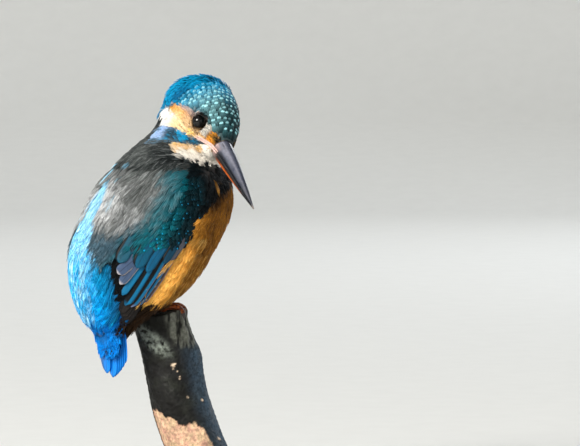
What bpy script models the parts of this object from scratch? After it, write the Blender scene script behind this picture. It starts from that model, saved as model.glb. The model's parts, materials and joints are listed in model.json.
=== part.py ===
"""A life-size kingfisher, perched upright on a short cut length of dead branch over a plain display stand.

The bird's trunk faces +X with its right side at -Y; its head is turned to its own right and looks down.
Shapes are worked out in millimetres in the perch frame, whose origin is the middle of the perch's top.
One empty carries every piece, so that the row's origin is the middle of the stand's underside.
"""
import math

import bmesh
import bpy
from mathutils import Euler, Matrix, Vector

MM = 0.001
GAP = 0.3                                # clearance between pieces that meet, mm

# --- the stand and where the perch frame sits over it ---
BASE_RADIUS = 48.0
BASE_HEIGHT = 7.0
BASE_BEVEL = 1.2
BASE_CENTRE = Vector((-4.0, -8.0))       # in the perch frame
PERCH_TOP_Z = 80.0                       # height of the perch frame's origin over the floor
ROD_RADIUS = 2.0
ROD_IN_BASE = 4.0
ROD_IN_PERCH = 6.0
ROD_SIDES = 16

# --- the perch: a leaning length of dead branch ---
PERCH_RADIUS = 11.6
PERCH_FOOT_Z = -60.0
PERCH_LEAN_TO = Vector((0.866, -0.5))    # the way its foot lies from its top
PERCH_RINGS = 18
PERCH_SIDES = 20

# --- the torso, as level slices: height, back edge, front edge, half width, sideways shift ---
TORSO = (
    ("vent", -11.0, -28.5, -22.0, 5.0, 0.0),
    ("tail root", -8.0, -31.0, -18.0, 8.5, 0.0),
    ("tail coverts", -3.0, -35.0, -13.5, 12.5, 0.0),
    ("lower rump", 1.0, -37.4, -7.0, 16.0, 0.0),
    ("thighs", 6.0, -39.2, 3.5, 19.8, 0.0),
    ("rump", 12.0, -40.6, 10.2, 23.0, 0.0),
    ("belly", 20.0, -41.0, 17.0, 25.0, 0.0),
    ("flank", 30.0, -37.9, 23.6, 25.8, 0.0),
    ("breast", 40.0, -33.2, 28.2, 25.4, 0.0),
    ("shoulder", 50.0, -28.0, 29.0, 23.4, 0.0),
    ("upper breast", 60.0, -20.5, 25.5, 18.8, 0.0),
    ("neck root", 66.0, -13.4, 22.5, 15.8, -0.6),
    ("neck", 70.0, -7.6, 21.6, 14.2, -0.8),
    ("upper neck", 74.0, -2.6, 21.6, 13.0, -0.6),
    ("hind neck", 79.0, -1.2, 22.6, 12.2, 0.4),
    ("nape", 83.0, 1.6, 21.6, 10.0, 1.4),
    ("hind crown", 86.5, 5.6, 18.6, 6.4, 2.0),
)
TORSO_RINGS = 25
TORSO_SIDES = 26
NECK_CUT_AT = Vector((4.0, 0.0, 60.0))
NECK_CUT_TILT = math.radians(20.0)       # the cut leans with the neck

# --- the head, in its own frame: X towards the bill, Y to its left, Z to its crown ---
HEAD_CENTRE = Vector((13.9, -13.0, 76.0))
HEAD_FACING = (math.radians(-24.6), math.radians(39.4), math.radians(-92.7))  # roll, pitch down, yaw
HEAD = (                                 # along the bill's line, crown, throat, half width
    ("hind neck", -22.8, -1.0, -8.0, 4.5),
    ("nape", -19.8, 6.0, -11.5, 9.6),
    ("hind nape", -16.0, 10.8, -13.6, 12.2),
    ("hind crown", -10.5, 14.1, -14.0, 13.2),
    ("ear coverts", -4.0, 14.3, -13.0, 12.8),
    ("crown", 2.0, 13.2, -11.4, 11.6),
    ("eye", 7.0, 10.9, -9.6, 9.8),
    ("lore", 11.0, 7.8, -8.0, 7.6),
    ("forehead", 14.5, 4.4, -6.6, 5.4),
    ("chin", 17.0, 2.0, -5.8, 3.6),
)
HEAD_SIDES = 22
HEAD_RINGS = 16

EYE_AT = Vector((4.8, 8.3, 0.9))         # the left eye; the right one mirrors it
EYE_RADIUS = 3.5
BILL_ROOT_X = 8.0
BILL_TIP_X = 50.5
BILL_LINE = ((8.0, -2.0), (17.0, -1.6), (50.5, -1.0))        # the closed gape, in the head's X and Z
CULMEN = ((8.0, 2.6, 4.2), (14.5, 2.9, 4.1), (24.0, 2.6, 3.2), (36.0, 1.4, 2.0), (50.5, -0.75, 0.3))
GONYS = ((8.0, -5.4, 4.2), (16.0, -5.2, 3.8), (24.0, -4.6, 3.0), (36.0, -3.2, 1.9), (50.5, -1.25, 0.3))
BILL_RINGS = 12
BILL_ROOM = 0.36                         # a little over the gap, as the head is also faceted

# --- the folded wings, on the torso: height, upper and lower edge as angles from the mid back ---
WING = (
    ("wing bend", 60.0, 62.0, 92.0),
    ("wrist", 56.0, 42.0, 110.0),
    ("lesser coverts", 50.0, 30.0, 117.0),
    ("median coverts", 44.0, 23.0, 112.0),
    ("scapulars", 37.0, 20.0, 100.0),
    ("greater coverts", 29.0, 22.0, 97.0),
    ("tertials", 21.0, 34.0, 89.0),
    ("secondaries", 12.0, 50.0, 79.0),
    ("primaries", 4.0, 64.0, 81.0),
    ("wing tip", -3.6, 76.0, 82.0),
)
WING_LEAVES_BODY = 5.0                  # below this height the wing runs on straight
WING_PROUD = 0.9
WING_DEPTH = 2.4
WING_ROWS = 18
WING_COLUMNS = 6

# --- the tail: a shallow roof of feathers hanging straight down ---
TAIL_TOP_Z = 0.0
TAIL_TIP_Z = -25.5
TAIL_X = -25.9
TAIL_HALF_WIDTH = 9.6
TAIL_ROOF = 1.5                          # how far its edges fall forward of the middle
TAIL_THICKNESS = 1.9
TAIL_ROWS = 8
TAIL_COLUMNS = 8

# --- the feet ---
TARSUS_TOP = Vector((-5.5, -6.4, 8.5))   # the right leg; the left one mirrors it
ANKLE = Vector((-3.4, -5.8, 2.4))
TARSUS_RADIUS = 1.5
TOES = {                                 # each toe's path from the ankle, and its radius at the root
    "inner": (((-0.4, -4.0, 2.6), (3.4, -2.8, 2.7), (7.2, -2.4, 1.7), (8.9, -2.2, -1.4)), 1.3),
    "middle": (((-0.2, -5.6, 2.9), (3.2, -5.9, 3.1), (6.2, -6.2, 1.6), (7.2, -6.5, -2.2)), 1.55),
    "outer": (((-0.9, -7.2, 2.7), (1.2, -8.8, 2.7), (3.2, -10.2, 1.0), (3.8, -10.8, -2.4)), 1.4),
    "hind": (((-6.2, -5.2, 2.3), (-9.0, -4.8, 1.9), (-11.6, -4.5, 0.5), (-12.8, -4.4, -2.6)), 1.4),
}
TOE_SIDES = 6
CLAW_TAPER = 0.22                        # the claw's tip radius as a share of the toe's root

HEAD_TO_PERCH = (
    Matrix.Translation(HEAD_CENTRE)
    @ Matrix.Rotation(HEAD_FACING[2], 4, "Z")
    @ Matrix.Rotation(HEAD_FACING[1], 4, "Y")
    @ Matrix.Rotation(HEAD_FACING[0], 4, "X")
)


def clear_scene():
    for old in list(bpy.data.objects):
        bpy.data.objects.remove(old, do_unlink=True)


def through(points, x):
    """A smooth value at x from (x, value, value, ...) rows, by a cubic that doesn't overshoot."""
    xs = [p[0] for p in points]
    last = len(xs) - 1
    x = min(max(x, min(xs)), max(xs))
    rising = xs[-1] > xs[0]
    i = next((k for k in range(last) if (x <= xs[k + 1]) == rising or x == xs[k + 1]), last - 1)

    def slope(k, column):
        if k == 0 or k == last:
            a, b = (0, 1) if k == 0 else (last - 1, last)
            return (points[b][column] - points[a][column]) / (xs[b] - xs[a])
        before = (points[k][column] - points[k - 1][column]) / (xs[k] - xs[k - 1])
        after = (points[k + 1][column] - points[k][column]) / (xs[k + 1] - xs[k])
        return 0.0 if before * after <= 0 else 2 * before * after / (before + after)

    span = xs[i + 1] - xs[i]
    t = (x - xs[i]) / span
    found = []
    for column in range(1, len(points[0])):
        a, b = points[i][column], points[i + 1][column]
        m, n = slope(i, column) * span, slope(i + 1, column) * span
        found.append(
            a * (2 * t ** 3 - 3 * t ** 2 + 1) + m * (t ** 3 - 2 * t ** 2 + t)
            + b * (3 * t ** 2 - 2 * t ** 3) + n * (t ** 3 - t ** 2)
        )
    return found


TORSO_ROWS = [row[1:] for row in TORSO]
HEAD_ROWS = [row[1:] for row in HEAD]
WING_TABLE = [row[1:] for row in WING]


def material(name, colour, roughness, metallic=0.0):
    made = bpy.data.materials.new(name)
    made.use_nodes = True
    shader = made.node_tree.nodes["Principled BSDF"]
    shader.inputs["Base Color"].default_value = (*colour, 1.0)
    shader.inputs["Roughness"].default_value = roughness
    shader.inputs["Metallic"].default_value = metallic
    made.diffuse_color = (*colour, 1.0)
    return made


def mesh_object(name, shape, look=None, carrier=None):
    """A smooth-shaded object from a bmesh in millimetres."""
    bmesh.ops.recalc_face_normals(shape, faces=shape.faces)
    bmesh.ops.scale(shape, vec=(MM, MM, MM), verts=shape.verts)
    mesh = bpy.data.meshes.new(name)
    shape.to_mesh(mesh)
    shape.free()
    mesh.shade_smooth()
    made = bpy.data.objects.new(name, mesh)
    bpy.context.scene.collection.objects.link(made)
    if look:
        mesh.materials.append(look)
    made.parent = carrier
    return made


def loft(rings, start=None, end=None):
    """A closed skin over rings of equal count, closed by a point or a flat cap at each end."""
    shape = bmesh.new()
    rows = [[shape.verts.new(p) for p in ring] for ring in rings]
    count = len(rows[0])
    for a, b in zip(rows, rows[1:]):
        for k in range(count):
            n = (k + 1) % count
            shape.faces.new((a[k], a[n], b[n], b[k]))
    for row, tip in ((rows[0], start), (rows[-1], end)):
        if tip is None:
            shape.faces.new(row)
            continue
        point = shape.verts.new(tip)
        for k in range(count):
            shape.faces.new((row[k], row[(k + 1) % count], point))
    return shape


def slab(surface, rows, columns):
    """A closed plate between surface(s, t, outside) for outside 1 and 0, with s and t from 0 to 1."""
    shape = bmesh.new()
    sheets = []
    for outside in (1, 0):
        sheets.append([
            [shape.verts.new(surface(i / rows, j / columns, outside)) for j in range(columns + 1)]
            for i in range(rows + 1)
        ])
    for sheet in sheets:
        for i in range(rows):
            for j in range(columns):
                shape.faces.new((sheet[i][j], sheet[i + 1][j], sheet[i + 1][j + 1], sheet[i][j + 1]))
    edge = [(i, 0) for i in range(rows)] + [(rows, j) for j in range(columns)]
    edge += [(i, columns) for i in range(rows, 0, -1)] + [(0, j) for j in range(columns, 0, -1)]
    for (a, b), (c, d) in zip(edge, edge[1:] + edge[:1]):
        shape.faces.new((sheets[0][a][b], sheets[0][c][d], sheets[1][c][d], sheets[1][a][b]))
    return shape


def tube(path, radii, sides, grow=0.0):
    """A round tube along a smooth path with rounded ends."""
    rings = []
    side = None
    for k, point in enumerate(path):
        ahead = (path[min(k + 1, len(path) - 1)] - path[max(k - 1, 0)]).normalized()
        side = ahead.orthogonal() if side is None else side - ahead * side.dot(ahead)
        side.normalize()
        up = ahead.cross(side)
        turns = [math.tau * n / sides for n in range(sides)]
        rings.append([
            point + (side * math.cos(t) + up * math.sin(t)) * (radii[k] + grow) for t in turns
        ])
    first = path[0] + (path[0] - path[1]).normalized() * (radii[0] * 0.5 + grow)
    last = path[-1] + (path[-1] - path[-2]).normalized() * (radii[-1] * 0.5 + grow)
    return loft(rings, first, last)


def smooth_path(points, steps):
    """Points along a Catmull-Rom curve through the given ones."""
    ends = [points[0] * 2 - points[1], *points, points[-1] * 2 - points[-2]]
    path = []
    for k in range(len(points) - 1):
        a, b, c, d = ends[k:k + 4]
        for n in range(steps):
            t = n / steps
            path.append(0.5 * (
                b * 2 + (c - a) * t + (a * 2 - b * 5 + c * 4 - d) * t * t
                + (b * 3 - a - c * 3 + d) * t ** 3
            ))
    return path + [points[-1]]


def boolean(target, cutter, operation="DIFFERENCE"):
    cut = target.modifiers.new(operation.lower() + "_" + cutter.name, "BOOLEAN")
    cut.operation = operation
    cut.object = cutter
    cut.solver = "EXACT"


def helper(made):
    """Marks an object as a cutter or a guide, which is no piece of the bird."""
    made.hide_render = True
    made.display_type = "WIRE"
    return made


def torso_ring(z, grow=0.0, sides=TORSO_SIDES):
    back, front, half, shift = through(TORSO_ROWS, z)
    middle, reach = (back + front) / 2, (front - back) / 2 + grow
    turns = [math.tau * k / sides for k in range(sides)]
    return [
        Vector((middle - reach * math.cos(t), shift + (half + grow) * math.sin(t), z)) for t in turns
    ]


def torso_shape():
    low, high = TORSO_ROWS[0][0], TORSO_ROWS[-1][0]
    rings = [torso_ring(low + (high - low) * k / TORSO_RINGS) for k in range(TORSO_RINGS + 1)]
    first = sum(rings[0], Vector()) / TORSO_SIDES - Vector((0, 0, 1.5))
    last = sum(rings[-1], Vector()) / TORSO_SIDES + Vector((0, 0, 1.5))
    return loft(rings, first, last)


def head_shape(grow=0.0):
    """The feathered head, from the hind neck to the bill's root."""
    low, high = HEAD_ROWS[0][0], HEAD_ROWS[-1][0]
    rings = []
    for k in range(HEAD_RINGS + 1):
        x = low + (high - low) * k / HEAD_RINGS
        crown, throat, half = through(HEAD_ROWS, x)
        middle, reach = (crown + throat) / 2, (crown - throat) / 2 + grow
        turns = [math.tau * n / HEAD_SIDES for n in range(HEAD_SIDES)]
        rings.append([
            Vector((x, (half + grow) * math.sin(t), middle + reach * math.cos(t))) for t in turns
        ])
    first = Vector((low - 1.6 - grow, 0, -1.5))
    last = Vector((high + 0.8 + grow, 0, -1.9))
    shape = loft(rings, first, last)
    bmesh.ops.transform(shape, matrix=HEAD_TO_PERCH, verts=shape.verts)
    return shape


def mandible_shape(edge, side, grow=0.0):
    """One half of the bill: a ridge along its outer edge and a flat face along the closed gape."""
    rings = []
    for k in range(BILL_RINGS + 1):
        x = BILL_ROOT_X + (BILL_TIP_X - BILL_ROOT_X) * k / BILL_RINGS
        ridge, half = through(edge, x)
        line = through(BILL_LINE, x)[0] + side * (GAP / 2 - grow)
        half, ridge = half + grow, ridge + side * grow
        fall = ridge - line
        profile = ((1.0, 0.0), (0.97, 0.3), (0.72, 0.66), (0.34, 0.92), (0.0, 1.0))
        right = [Vector((x, -half * a, line + fall * b)) for a, b in profile]
        left = [Vector((x, half * a, line + fall * b)) for a, b in reversed(profile[:-1])]
        rings.append(right + left)
    shape = loft(rings)
    bmesh.ops.transform(shape, matrix=HEAD_TO_PERCH, verts=shape.verts)
    return shape


def eye_shape(side, grow=0.0):
    shape = bmesh.new()
    bmesh.ops.create_uvsphere(shape, u_segments=14, v_segments=8, radius=EYE_RADIUS + grow)
    at = HEAD_TO_PERCH @ Vector((EYE_AT.x, EYE_AT.y * side, EYE_AT.z))
    bmesh.ops.translate(shape, vec=at, verts=shape.verts)
    return shape


def wing_shell(z):
    """Middle, reach and half width of the surface that a folded wing lies on."""
    def slice_at(height):
        back, front, half, _ = through(TORSO_ROWS, height)
        return (back + front) / 2, (front - back) / 2, half

    if z >= WING_LEAVES_BODY:
        return slice_at(z)
    near, far = slice_at(WING_LEAVES_BODY), slice_at(WING_LEAVES_BODY + 8.0)
    return [a + (a - b) * (WING_LEAVES_BODY - z) / 8.0 for a, b in zip(near, far)]


def wing_shape(side, grow=0.0):
    top, tip = WING_TABLE[0][0] + grow, WING_TABLE[-1][0] - grow

    def surface(s, t, outside):
        z = top + (tip - top) * s
        upper, lower = through(WING_TABLE, z)
        middle, reach, half = wing_shell(z)
        widen = math.degrees(grow / half)
        angle = math.radians(upper - widen + (lower - upper + 2 * widen) * t)
        crowned = 1 - (2 * t - 1) ** 4
        taper = 1 - 0.45 * s
        off = WING_PROUD * (0.35 + 0.65 * crowned) + grow if outside else -WING_DEPTH * taper - grow
        return Vector((middle - (reach + off) * math.cos(angle), side * (half + off) * math.sin(angle), z))

    return slab(surface, WING_ROWS, WING_COLUMNS)


def tail_shape(grow=0.0):
    def surface(s, t, outside):
        across = 2 * t - 1
        z = TAIL_TOP_Z + grow + (TAIL_TIP_Z - TAIL_TOP_Z - 2 * grow) * s
        z += 5.6 * s ** 3 * abs(across) ** 2.4
        half = TAIL_HALF_WIDTH * (0.9 + 0.1 * math.sin(math.pi * s ** 0.8)) + grow
        x = TAIL_X - 2.0 * (1 - s) ** 2 + TAIL_ROOF * across ** 2
        x += -grow if outside else TAIL_THICKNESS * (1 - 0.35 * s) + grow
        return Vector((x, half * across, z))

    return slab(surface, TAIL_ROWS, TAIL_COLUMNS)


def leg_pieces(side):
    """The paths and radii of one leg's tarsus and toes."""
    mirror = Vector((1, -side, 1))      # the paths are the right leg's, at side -1
    ankle = ANKLE * mirror
    pieces = [(smooth_path([TARSUS_TOP * mirror, ankle], 4), [TARSUS_RADIUS] * 5)]
    for points, radius in TOES.values():
        path = smooth_path([ankle, *(Vector(p) * mirror for p in points)], 3)
        last = len(path) - 1
        claw_from = last * 0.72
        radii = [
            radius * (1 - 0.2 * k / last) if k < claw_from
            else radius * (0.8 - (0.8 - CLAW_TAPER) * (k - claw_from) / (last - claw_from))
            for k in range(last + 1)
        ]
        pieces.append((path, radii))
    return pieces


def leg(side, name, look, carrier, grow=0.0):
    """Tarsus and four toes joined into one body."""
    body = None
    for k, (path, radii) in enumerate(leg_pieces(side)):
        if body is None:
            body = mesh_object(name, tube(path, radii, TOE_SIDES, grow), look, carrier)
            continue
        toe = mesh_object(f"{name}_toe_{k}", tube(path, radii, TOE_SIDES, grow), None, carrier)
        boolean(body, helper(toe), "UNION")
    return body


def perch_axis(z):
    """The middle of the branch at a height: it leans, with a slight bow."""
    down = -z
    away = 0.17 * down + 0.0019 * down ** 2 + 0.4 * math.sin(down / 9.0)
    return Vector((-2.4 + PERCH_LEAN_TO.x * away, PERCH_LEAN_TO.y * away))


def perch_shape():
    """A branch with a slanting broken top, one knot and shallow hollows down its length."""
    rings = []
    for k in range(PERCH_RINGS + 1):
        down = k / PERCH_RINGS
        z = -1.2 + (PERCH_FOOT_Z + 1.2) * down ** 1.15
        centre = perch_axis(z)
        ring = []
        for n in range(PERCH_SIDES):
            t = math.tau * n / PERCH_SIDES
            out = Vector((math.cos(t), math.sin(t)))
            knot = 1.5 * math.exp(-((z + 16) / 5.5) ** 2) * max(0, out.dot(PERCH_LEAN_TO)) ** 6
            ripple = 0.35 * math.sin(3 * t + z * 0.12) + 0.25 * math.sin(5 * t - z * 0.21)
            radius = PERCH_RADIUS - 0.7 * math.exp(z / 8.0) + 2.0 * down ** 2 + knot + ripple
            slant = (out.dot(PERCH_LEAN_TO) * 2.2 + 0.5 * math.sin(4 * t)) * math.exp(z / 9.0)
            ring.append(Vector((*(centre + out * radius), z + slant)))
        rings.append(ring)
    return loft(rings, Vector((*perch_axis(-1.2), -0.8)), None)


def cylinder(name, at, radius, low, high, look, carrier, bevel=0.0, sides=40):
    shape = bmesh.new()
    bmesh.ops.create_cone(
        shape, cap_ends=True, segments=sides, radius1=radius, radius2=radius, depth=high - low
    )
    bmesh.ops.translate(shape, vec=(at.x, at.y, (low + high) / 2), verts=shape.verts)
    made = mesh_object(name, shape, look, carrier)
    made.data.set_sharp_from_angle(angle=math.radians(40))
    if bevel:
        rounded = made.modifiers.new("edge", "BEVEL")
        rounded.width = bevel * MM
        rounded.segments = 2
        rounded.limit_method = "ANGLE"
    return made


def half_space(name, above, carrier):
    """A big block on one side of the neck's cut, half the gap away from it."""
    size = 160.0
    shape = bmesh.new()
    bmesh.ops.create_cube(shape, size=size)
    side = 1 if above else -1
    bmesh.ops.translate(shape, vec=(0, 0, side * (size / 2 - GAP / 2)), verts=shape.verts)
    turn = Matrix.Translation(NECK_CUT_AT) @ Matrix.Rotation(NECK_CUT_TILT, 4, "Y")
    bmesh.ops.transform(shape, matrix=turn, verts=shape.verts)
    return helper(mesh_object(name, shape, None, carrier))


def build_head(carrier, looks):
    """The feathered head with its eyes and the two halves of the bill let into it."""
    head = mesh_object("head", head_shape(), looks["teal"], carrier)
    for name, side in (("eye_right", -1), ("eye_left", 1)):
        mesh_object(name, eye_shape(side), looks["eye"], carrier)
        boolean(head, helper(mesh_object(name + "_room", eye_shape(side, GAP), None, carrier)))
    for name, edge, side, look in (
        ("bill_upper", CULMEN, 1, "horn"), ("bill_lower", GONYS, -1, "ember"),
    ):
        mesh_object(name, mandible_shape(edge, side), looks[look], carrier)
        room = mesh_object(name + "_room", mandible_shape(edge, side, BILL_ROOM), None, carrier)
        boolean(head, helper(room))


def build_body(carrier, looks):
    """Trunk and neck parted by one cut, each with room for what is set into it. Returns the legs' rooms."""
    head_room = helper(mesh_object("head_room", head_shape(GAP), None, carrier))
    tail_room = helper(mesh_object("tail_room", tail_shape(GAP), None, carrier))
    mesh_object("tail", tail_shape(), looks["blue"], carrier)
    wing_rooms, leg_rooms = [], []
    for word, side in (("right", -1), ("left", 1)):
        wing, foot = "wing_" + word, "leg_" + word
        mesh_object(wing, wing_shape(side), looks["teal"], carrier)
        wing_rooms.append(helper(mesh_object(wing + "_room", wing_shape(side, GAP), None, carrier)))
        leg(side, foot, looks["coral"], carrier)
        leg_rooms.append(helper(leg(side, foot + "_room", None, carrier, GAP)))
    neck = mesh_object("neck", torso_shape(), looks["blue"], carrier)
    boolean(neck, half_space("under_neck_cut", False, carrier))
    for room in [head_room, *wing_rooms]:
        boolean(neck, room)
    trunk = mesh_object("trunk", torso_shape(), looks["orange"], carrier)
    boolean(trunk, half_space("over_neck_cut", True, carrier))
    for room in [head_room, tail_room, *wing_rooms, *leg_rooms]:
        boolean(trunk, room)
    return leg_rooms


def build_perch_and_stand(carrier, looks, leg_rooms):
    perch = mesh_object("perch", perch_shape(), looks["wood"], carrier)
    perch.data.set_sharp_from_angle(angle=math.radians(50))
    foot = perch_axis(PERCH_FOOT_Z)
    floor = -PERCH_TOP_Z
    rod = (floor + BASE_HEIGHT - ROD_IN_BASE, PERCH_FOOT_Z + ROD_IN_PERCH)
    cylinder("stand_rod", foot, ROD_RADIUS, *rod, looks["steel"], carrier, sides=ROD_SIDES)
    room = (rod[0] - GAP, rod[1] + GAP)
    rod_room = helper(cylinder("rod_room", foot, ROD_RADIUS + GAP, *room, None, carrier, sides=ROD_SIDES))
    for cutter in [*leg_rooms, rod_room]:
        boolean(perch, cutter)
    top = floor + BASE_HEIGHT
    base = cylinder("stand_base", BASE_CENTRE, BASE_RADIUS, floor, top, looks["lacquer"], carrier, BASE_BEVEL)
    boolean(base, rod_room)


def build():
    clear_scene()
    carrier = bpy.data.objects.new("kingfisher", None)
    bpy.context.scene.collection.objects.link(carrier)
    carrier.location = (-BASE_CENTRE.x * MM, -BASE_CENTRE.y * MM, PERCH_TOP_Z * MM)
    looks = {
        "teal": material("teal_plumage", (0.02, 0.16, 0.22), 0.5),
        "blue": material("blue_plumage", (0.01, 0.26, 0.66), 0.45),
        "orange": material("orange_plumage", (0.62, 0.24, 0.05), 0.65),
        "horn": material("bill_horn", (0.03, 0.03, 0.035), 0.3),
        "ember": material("bill_orange", (0.42, 0.12, 0.05), 0.35),
        "eye": material("eye", (0.012, 0.008, 0.007), 0.08),
        "coral": material("foot_skin", (0.55, 0.1, 0.03), 0.45),
        "wood": material("dead_wood", (0.16, 0.14, 0.12), 0.85),
        "lacquer": material("stand_lacquer", (0.03, 0.028, 0.026), 0.35),
        "steel": material("stand_steel", (0.55, 0.55, 0.56), 0.3, 1.0),
    }
    build_head(carrier, looks)
    leg_rooms = build_body(carrier, looks)
    build_perch_and_stand(carrier, looks, leg_rooms)


build()
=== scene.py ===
# %% [markdown]
# # A kingfisher on the end of a branch
# A museum's bird is a skin over a form, with each feather laid back in its own tract. This script
# works the same way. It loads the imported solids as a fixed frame, draws one skin just inside them,
# plans the lie and the colours on that skin, and then grows every feather from it.

# %% Load the frame
import json
import math

import bmesh
import bpy
import numpy as np
from mathutils import Matrix, Vector, noise
from mathutils.bvhtree import BVHTree
from mathutils.kdtree import KDTree

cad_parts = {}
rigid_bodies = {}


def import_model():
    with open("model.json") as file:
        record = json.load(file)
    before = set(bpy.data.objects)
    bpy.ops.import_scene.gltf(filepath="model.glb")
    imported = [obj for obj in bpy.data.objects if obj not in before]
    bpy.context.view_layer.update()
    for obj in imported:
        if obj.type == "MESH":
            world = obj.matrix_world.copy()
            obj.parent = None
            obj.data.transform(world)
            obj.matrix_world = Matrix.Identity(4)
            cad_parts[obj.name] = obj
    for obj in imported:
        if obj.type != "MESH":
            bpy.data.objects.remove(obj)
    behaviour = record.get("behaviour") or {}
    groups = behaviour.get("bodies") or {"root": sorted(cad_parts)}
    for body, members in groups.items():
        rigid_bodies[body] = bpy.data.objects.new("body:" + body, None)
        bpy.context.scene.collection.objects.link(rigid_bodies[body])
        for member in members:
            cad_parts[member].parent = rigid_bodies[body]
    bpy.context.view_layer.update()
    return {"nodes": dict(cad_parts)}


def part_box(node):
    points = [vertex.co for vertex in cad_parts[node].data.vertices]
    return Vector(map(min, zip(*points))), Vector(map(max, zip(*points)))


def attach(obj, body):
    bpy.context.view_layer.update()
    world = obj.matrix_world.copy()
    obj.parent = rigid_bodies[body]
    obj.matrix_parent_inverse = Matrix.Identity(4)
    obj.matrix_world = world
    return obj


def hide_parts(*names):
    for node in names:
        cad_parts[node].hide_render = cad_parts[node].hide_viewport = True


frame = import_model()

NODES = frame["nodes"]
MM = 0.001
SEED = 7
print("nodes:", sorted(NODES))

# %% [markdown]
# ## Two working frames
# Lengths below are in millimetres. The perch frame has its origin at the middle of the perch's top,
# with the bird's trunk facing +X. The head has a frame of its own, X towards the bill and Z to the
# crown, because its markings and feathers are ordered around the bill, however the neck is turned.

# %% Frames and the torso's slices
PERCH_TOP = np.array((4.0, 8.0, 80.0))
HEAD_CENTRE = Vector((13.9, -13.0, 76.0))
HEAD_ROLL, HEAD_DOWN, HEAD_TURN = math.radians(-24.6), math.radians(39.4), math.radians(-92.7)
HEAD_TO_PERCH = (
    Matrix.Translation(HEAD_CENTRE)
    @ Matrix.Rotation(HEAD_TURN, 4, "Z")
    @ Matrix.Rotation(HEAD_DOWN, 4, "Y")
    @ Matrix.Rotation(HEAD_ROLL, 4, "X")
)
HEAD_AXES = np.array(HEAD_TO_PERCH.to_3x3())
TORSO = np.array((                      # height, back edge, front edge, half width
    (-11.0, -28.5, -22.0, 5.0), (-8.0, -31.0, -18.0, 8.5), (-3.0, -35.0, -13.5, 12.5),
    (1.0, -37.4, -7.0, 16.0), (6.0, -39.2, 3.5, 19.8), (12.0, -40.6, 10.2, 23.0),
    (20.0, -41.0, 17.0, 25.0), (30.0, -37.9, 23.6, 25.8), (40.0, -33.2, 28.2, 25.4),
    (50.0, -28.0, 29.0, 23.4), (60.0, -20.5, 25.5, 18.8), (66.0, -13.4, 22.5, 15.8),
    (70.0, -7.6, 21.6, 14.2), (79.0, -1.2, 22.6, 12.2), (86.5, 5.6, 18.6, 6.4),
))


def to_row(points):
    return (np.asarray(points, float) + PERCH_TOP) * MM


def to_perch(points):
    return np.asarray(points, float) / MM - PERCH_TOP


def head_to_perch(points):
    return np.asarray(points, float) @ HEAD_AXES.T + np.array(HEAD_CENTRE)


def perch_to_head(points):
    return (np.asarray(points, float) - np.array(HEAD_CENTRE)) @ HEAD_AXES


def unit(vectors):
    return vectors / np.maximum(np.linalg.norm(vectors, axis=-1, keepdims=True), 1e-9)


def all_round(count):
    """Angles evenly round a circle."""
    return np.linspace(0, math.tau, count, endpoint=False)


def follow(table, at, column=1):
    """The table's value at each place, going straight from row to row."""
    rows = np.array(table, float)
    return np.interp(at, rows[:, 0], rows[:, column])


def flowing(table, at, column=1):
    """The same on a smooth curve through the rows, which never overshoots them."""
    rows = np.array(table, float)
    x, y = rows[:, 0], rows[:, column]
    run = np.diff(x)
    slope = np.diff(y) / run
    lean = np.zeros_like(y)
    together = slope[1:] * slope[:-1]
    lean[1:-1] = np.where(together > 0, 2 * together / (slope[1:] + slope[:-1] + 1e-12 * (together <= 0)), 0)
    lean[0], lean[-1] = slope[0], slope[-1]
    at = np.clip(at, x[0], x[-1])
    k = np.clip(np.searchsorted(x, at) - 1, 0, len(run) - 1)
    t = (at - x[k]) / run[k]
    return (
        y[k] * (1 + 2 * t) * (1 - t) ** 2 + y[k + 1] * t * t * (3 - 2 * t)
        + run[k] * (lean[k] * t * (1 - t) ** 2 - lean[k + 1] * t * t * (1 - t))
    )


def smooth_path(run, points, at):
    """A smooth path through points. run gives the distance along it at which each point lies."""
    return np.column_stack([flowing(np.column_stack((run, points[:, k])), at) for k in range(3)])


def distance_along(points):
    return np.concatenate(([0], np.cumsum(np.linalg.norm(np.diff(points, axis=0), axis=1))))


def torso_at(z):
    """Middle, reach and half width of the torso's slice at each height."""
    back, front, half = (flowing(TORSO, z, k) for k in (1, 2, 3))
    return (back + front) / 2, (front - back) / 2, half


print("torso slices:", len(TORSO), "from", TORSO[0, 0], "to", TORSO[-1, 0], "mm")

# %% [markdown]
# ## Making pieces
# Each finished piece is one mesh at the origin, riding on the one body of a part without joints.

# %% Piece helpers
scene = bpy.context.scene
PIECES = {}
SIDES = ((-1, "right"), (1, "left"))


def new_object(name, data):
    made = bpy.data.objects.new(name, data)
    scene.collection.objects.link(made)
    return made


def applied(thing):
    """A plain mesh of an object with its modifiers worked out."""
    bpy.context.view_layer.update()
    depsgraph = bpy.context.evaluated_depsgraph_get()
    return bpy.data.meshes.new_from_object(thing.evaluated_get(depsgraph), depsgraph=depsgraph)


def keep(thing, replaced=(), material=None):
    """Makes an object a finished piece, which may replace nodes of the solids."""
    if material:
        thing.data.materials.clear()
        thing.data.materials.append(material)
    thing.data.shade_smooth()
    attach(thing, "root")
    if replaced:
        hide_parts(*replaced)
    thing.data.calc_loop_triangles()
    PIECES[thing.name] = len(thing.data.loop_triangles)
    print(f"{thing.name}: {PIECES[thing.name]} triangles")


def mesh_of(name, points, faces):
    mesh = bpy.data.meshes.new(name)
    mesh.from_pydata(to_row(points).tolist(), [], faces)
    return mesh


def mesh_from(shape, name):
    """A mesh of a bmesh, which is freed."""
    mesh = bpy.data.meshes.new(name)
    shape.to_mesh(mesh)
    shape.free()
    return mesh


def face_out(mesh):
    """Turns the faces of a closed mesh outwards."""
    shape = bmesh.new()
    shape.from_mesh(mesh)
    bmesh.ops.recalc_face_normals(shape, faces=shape.faces)
    shape.to_mesh(mesh)
    shape.free()


def band(a, b, sides):
    """The faces between two rings of vertices, which start at a and at b."""
    return [(a + i, a + (i + 1) % sides, b + (i + 1) % sides, b + i) for i in range(sides)]


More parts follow.
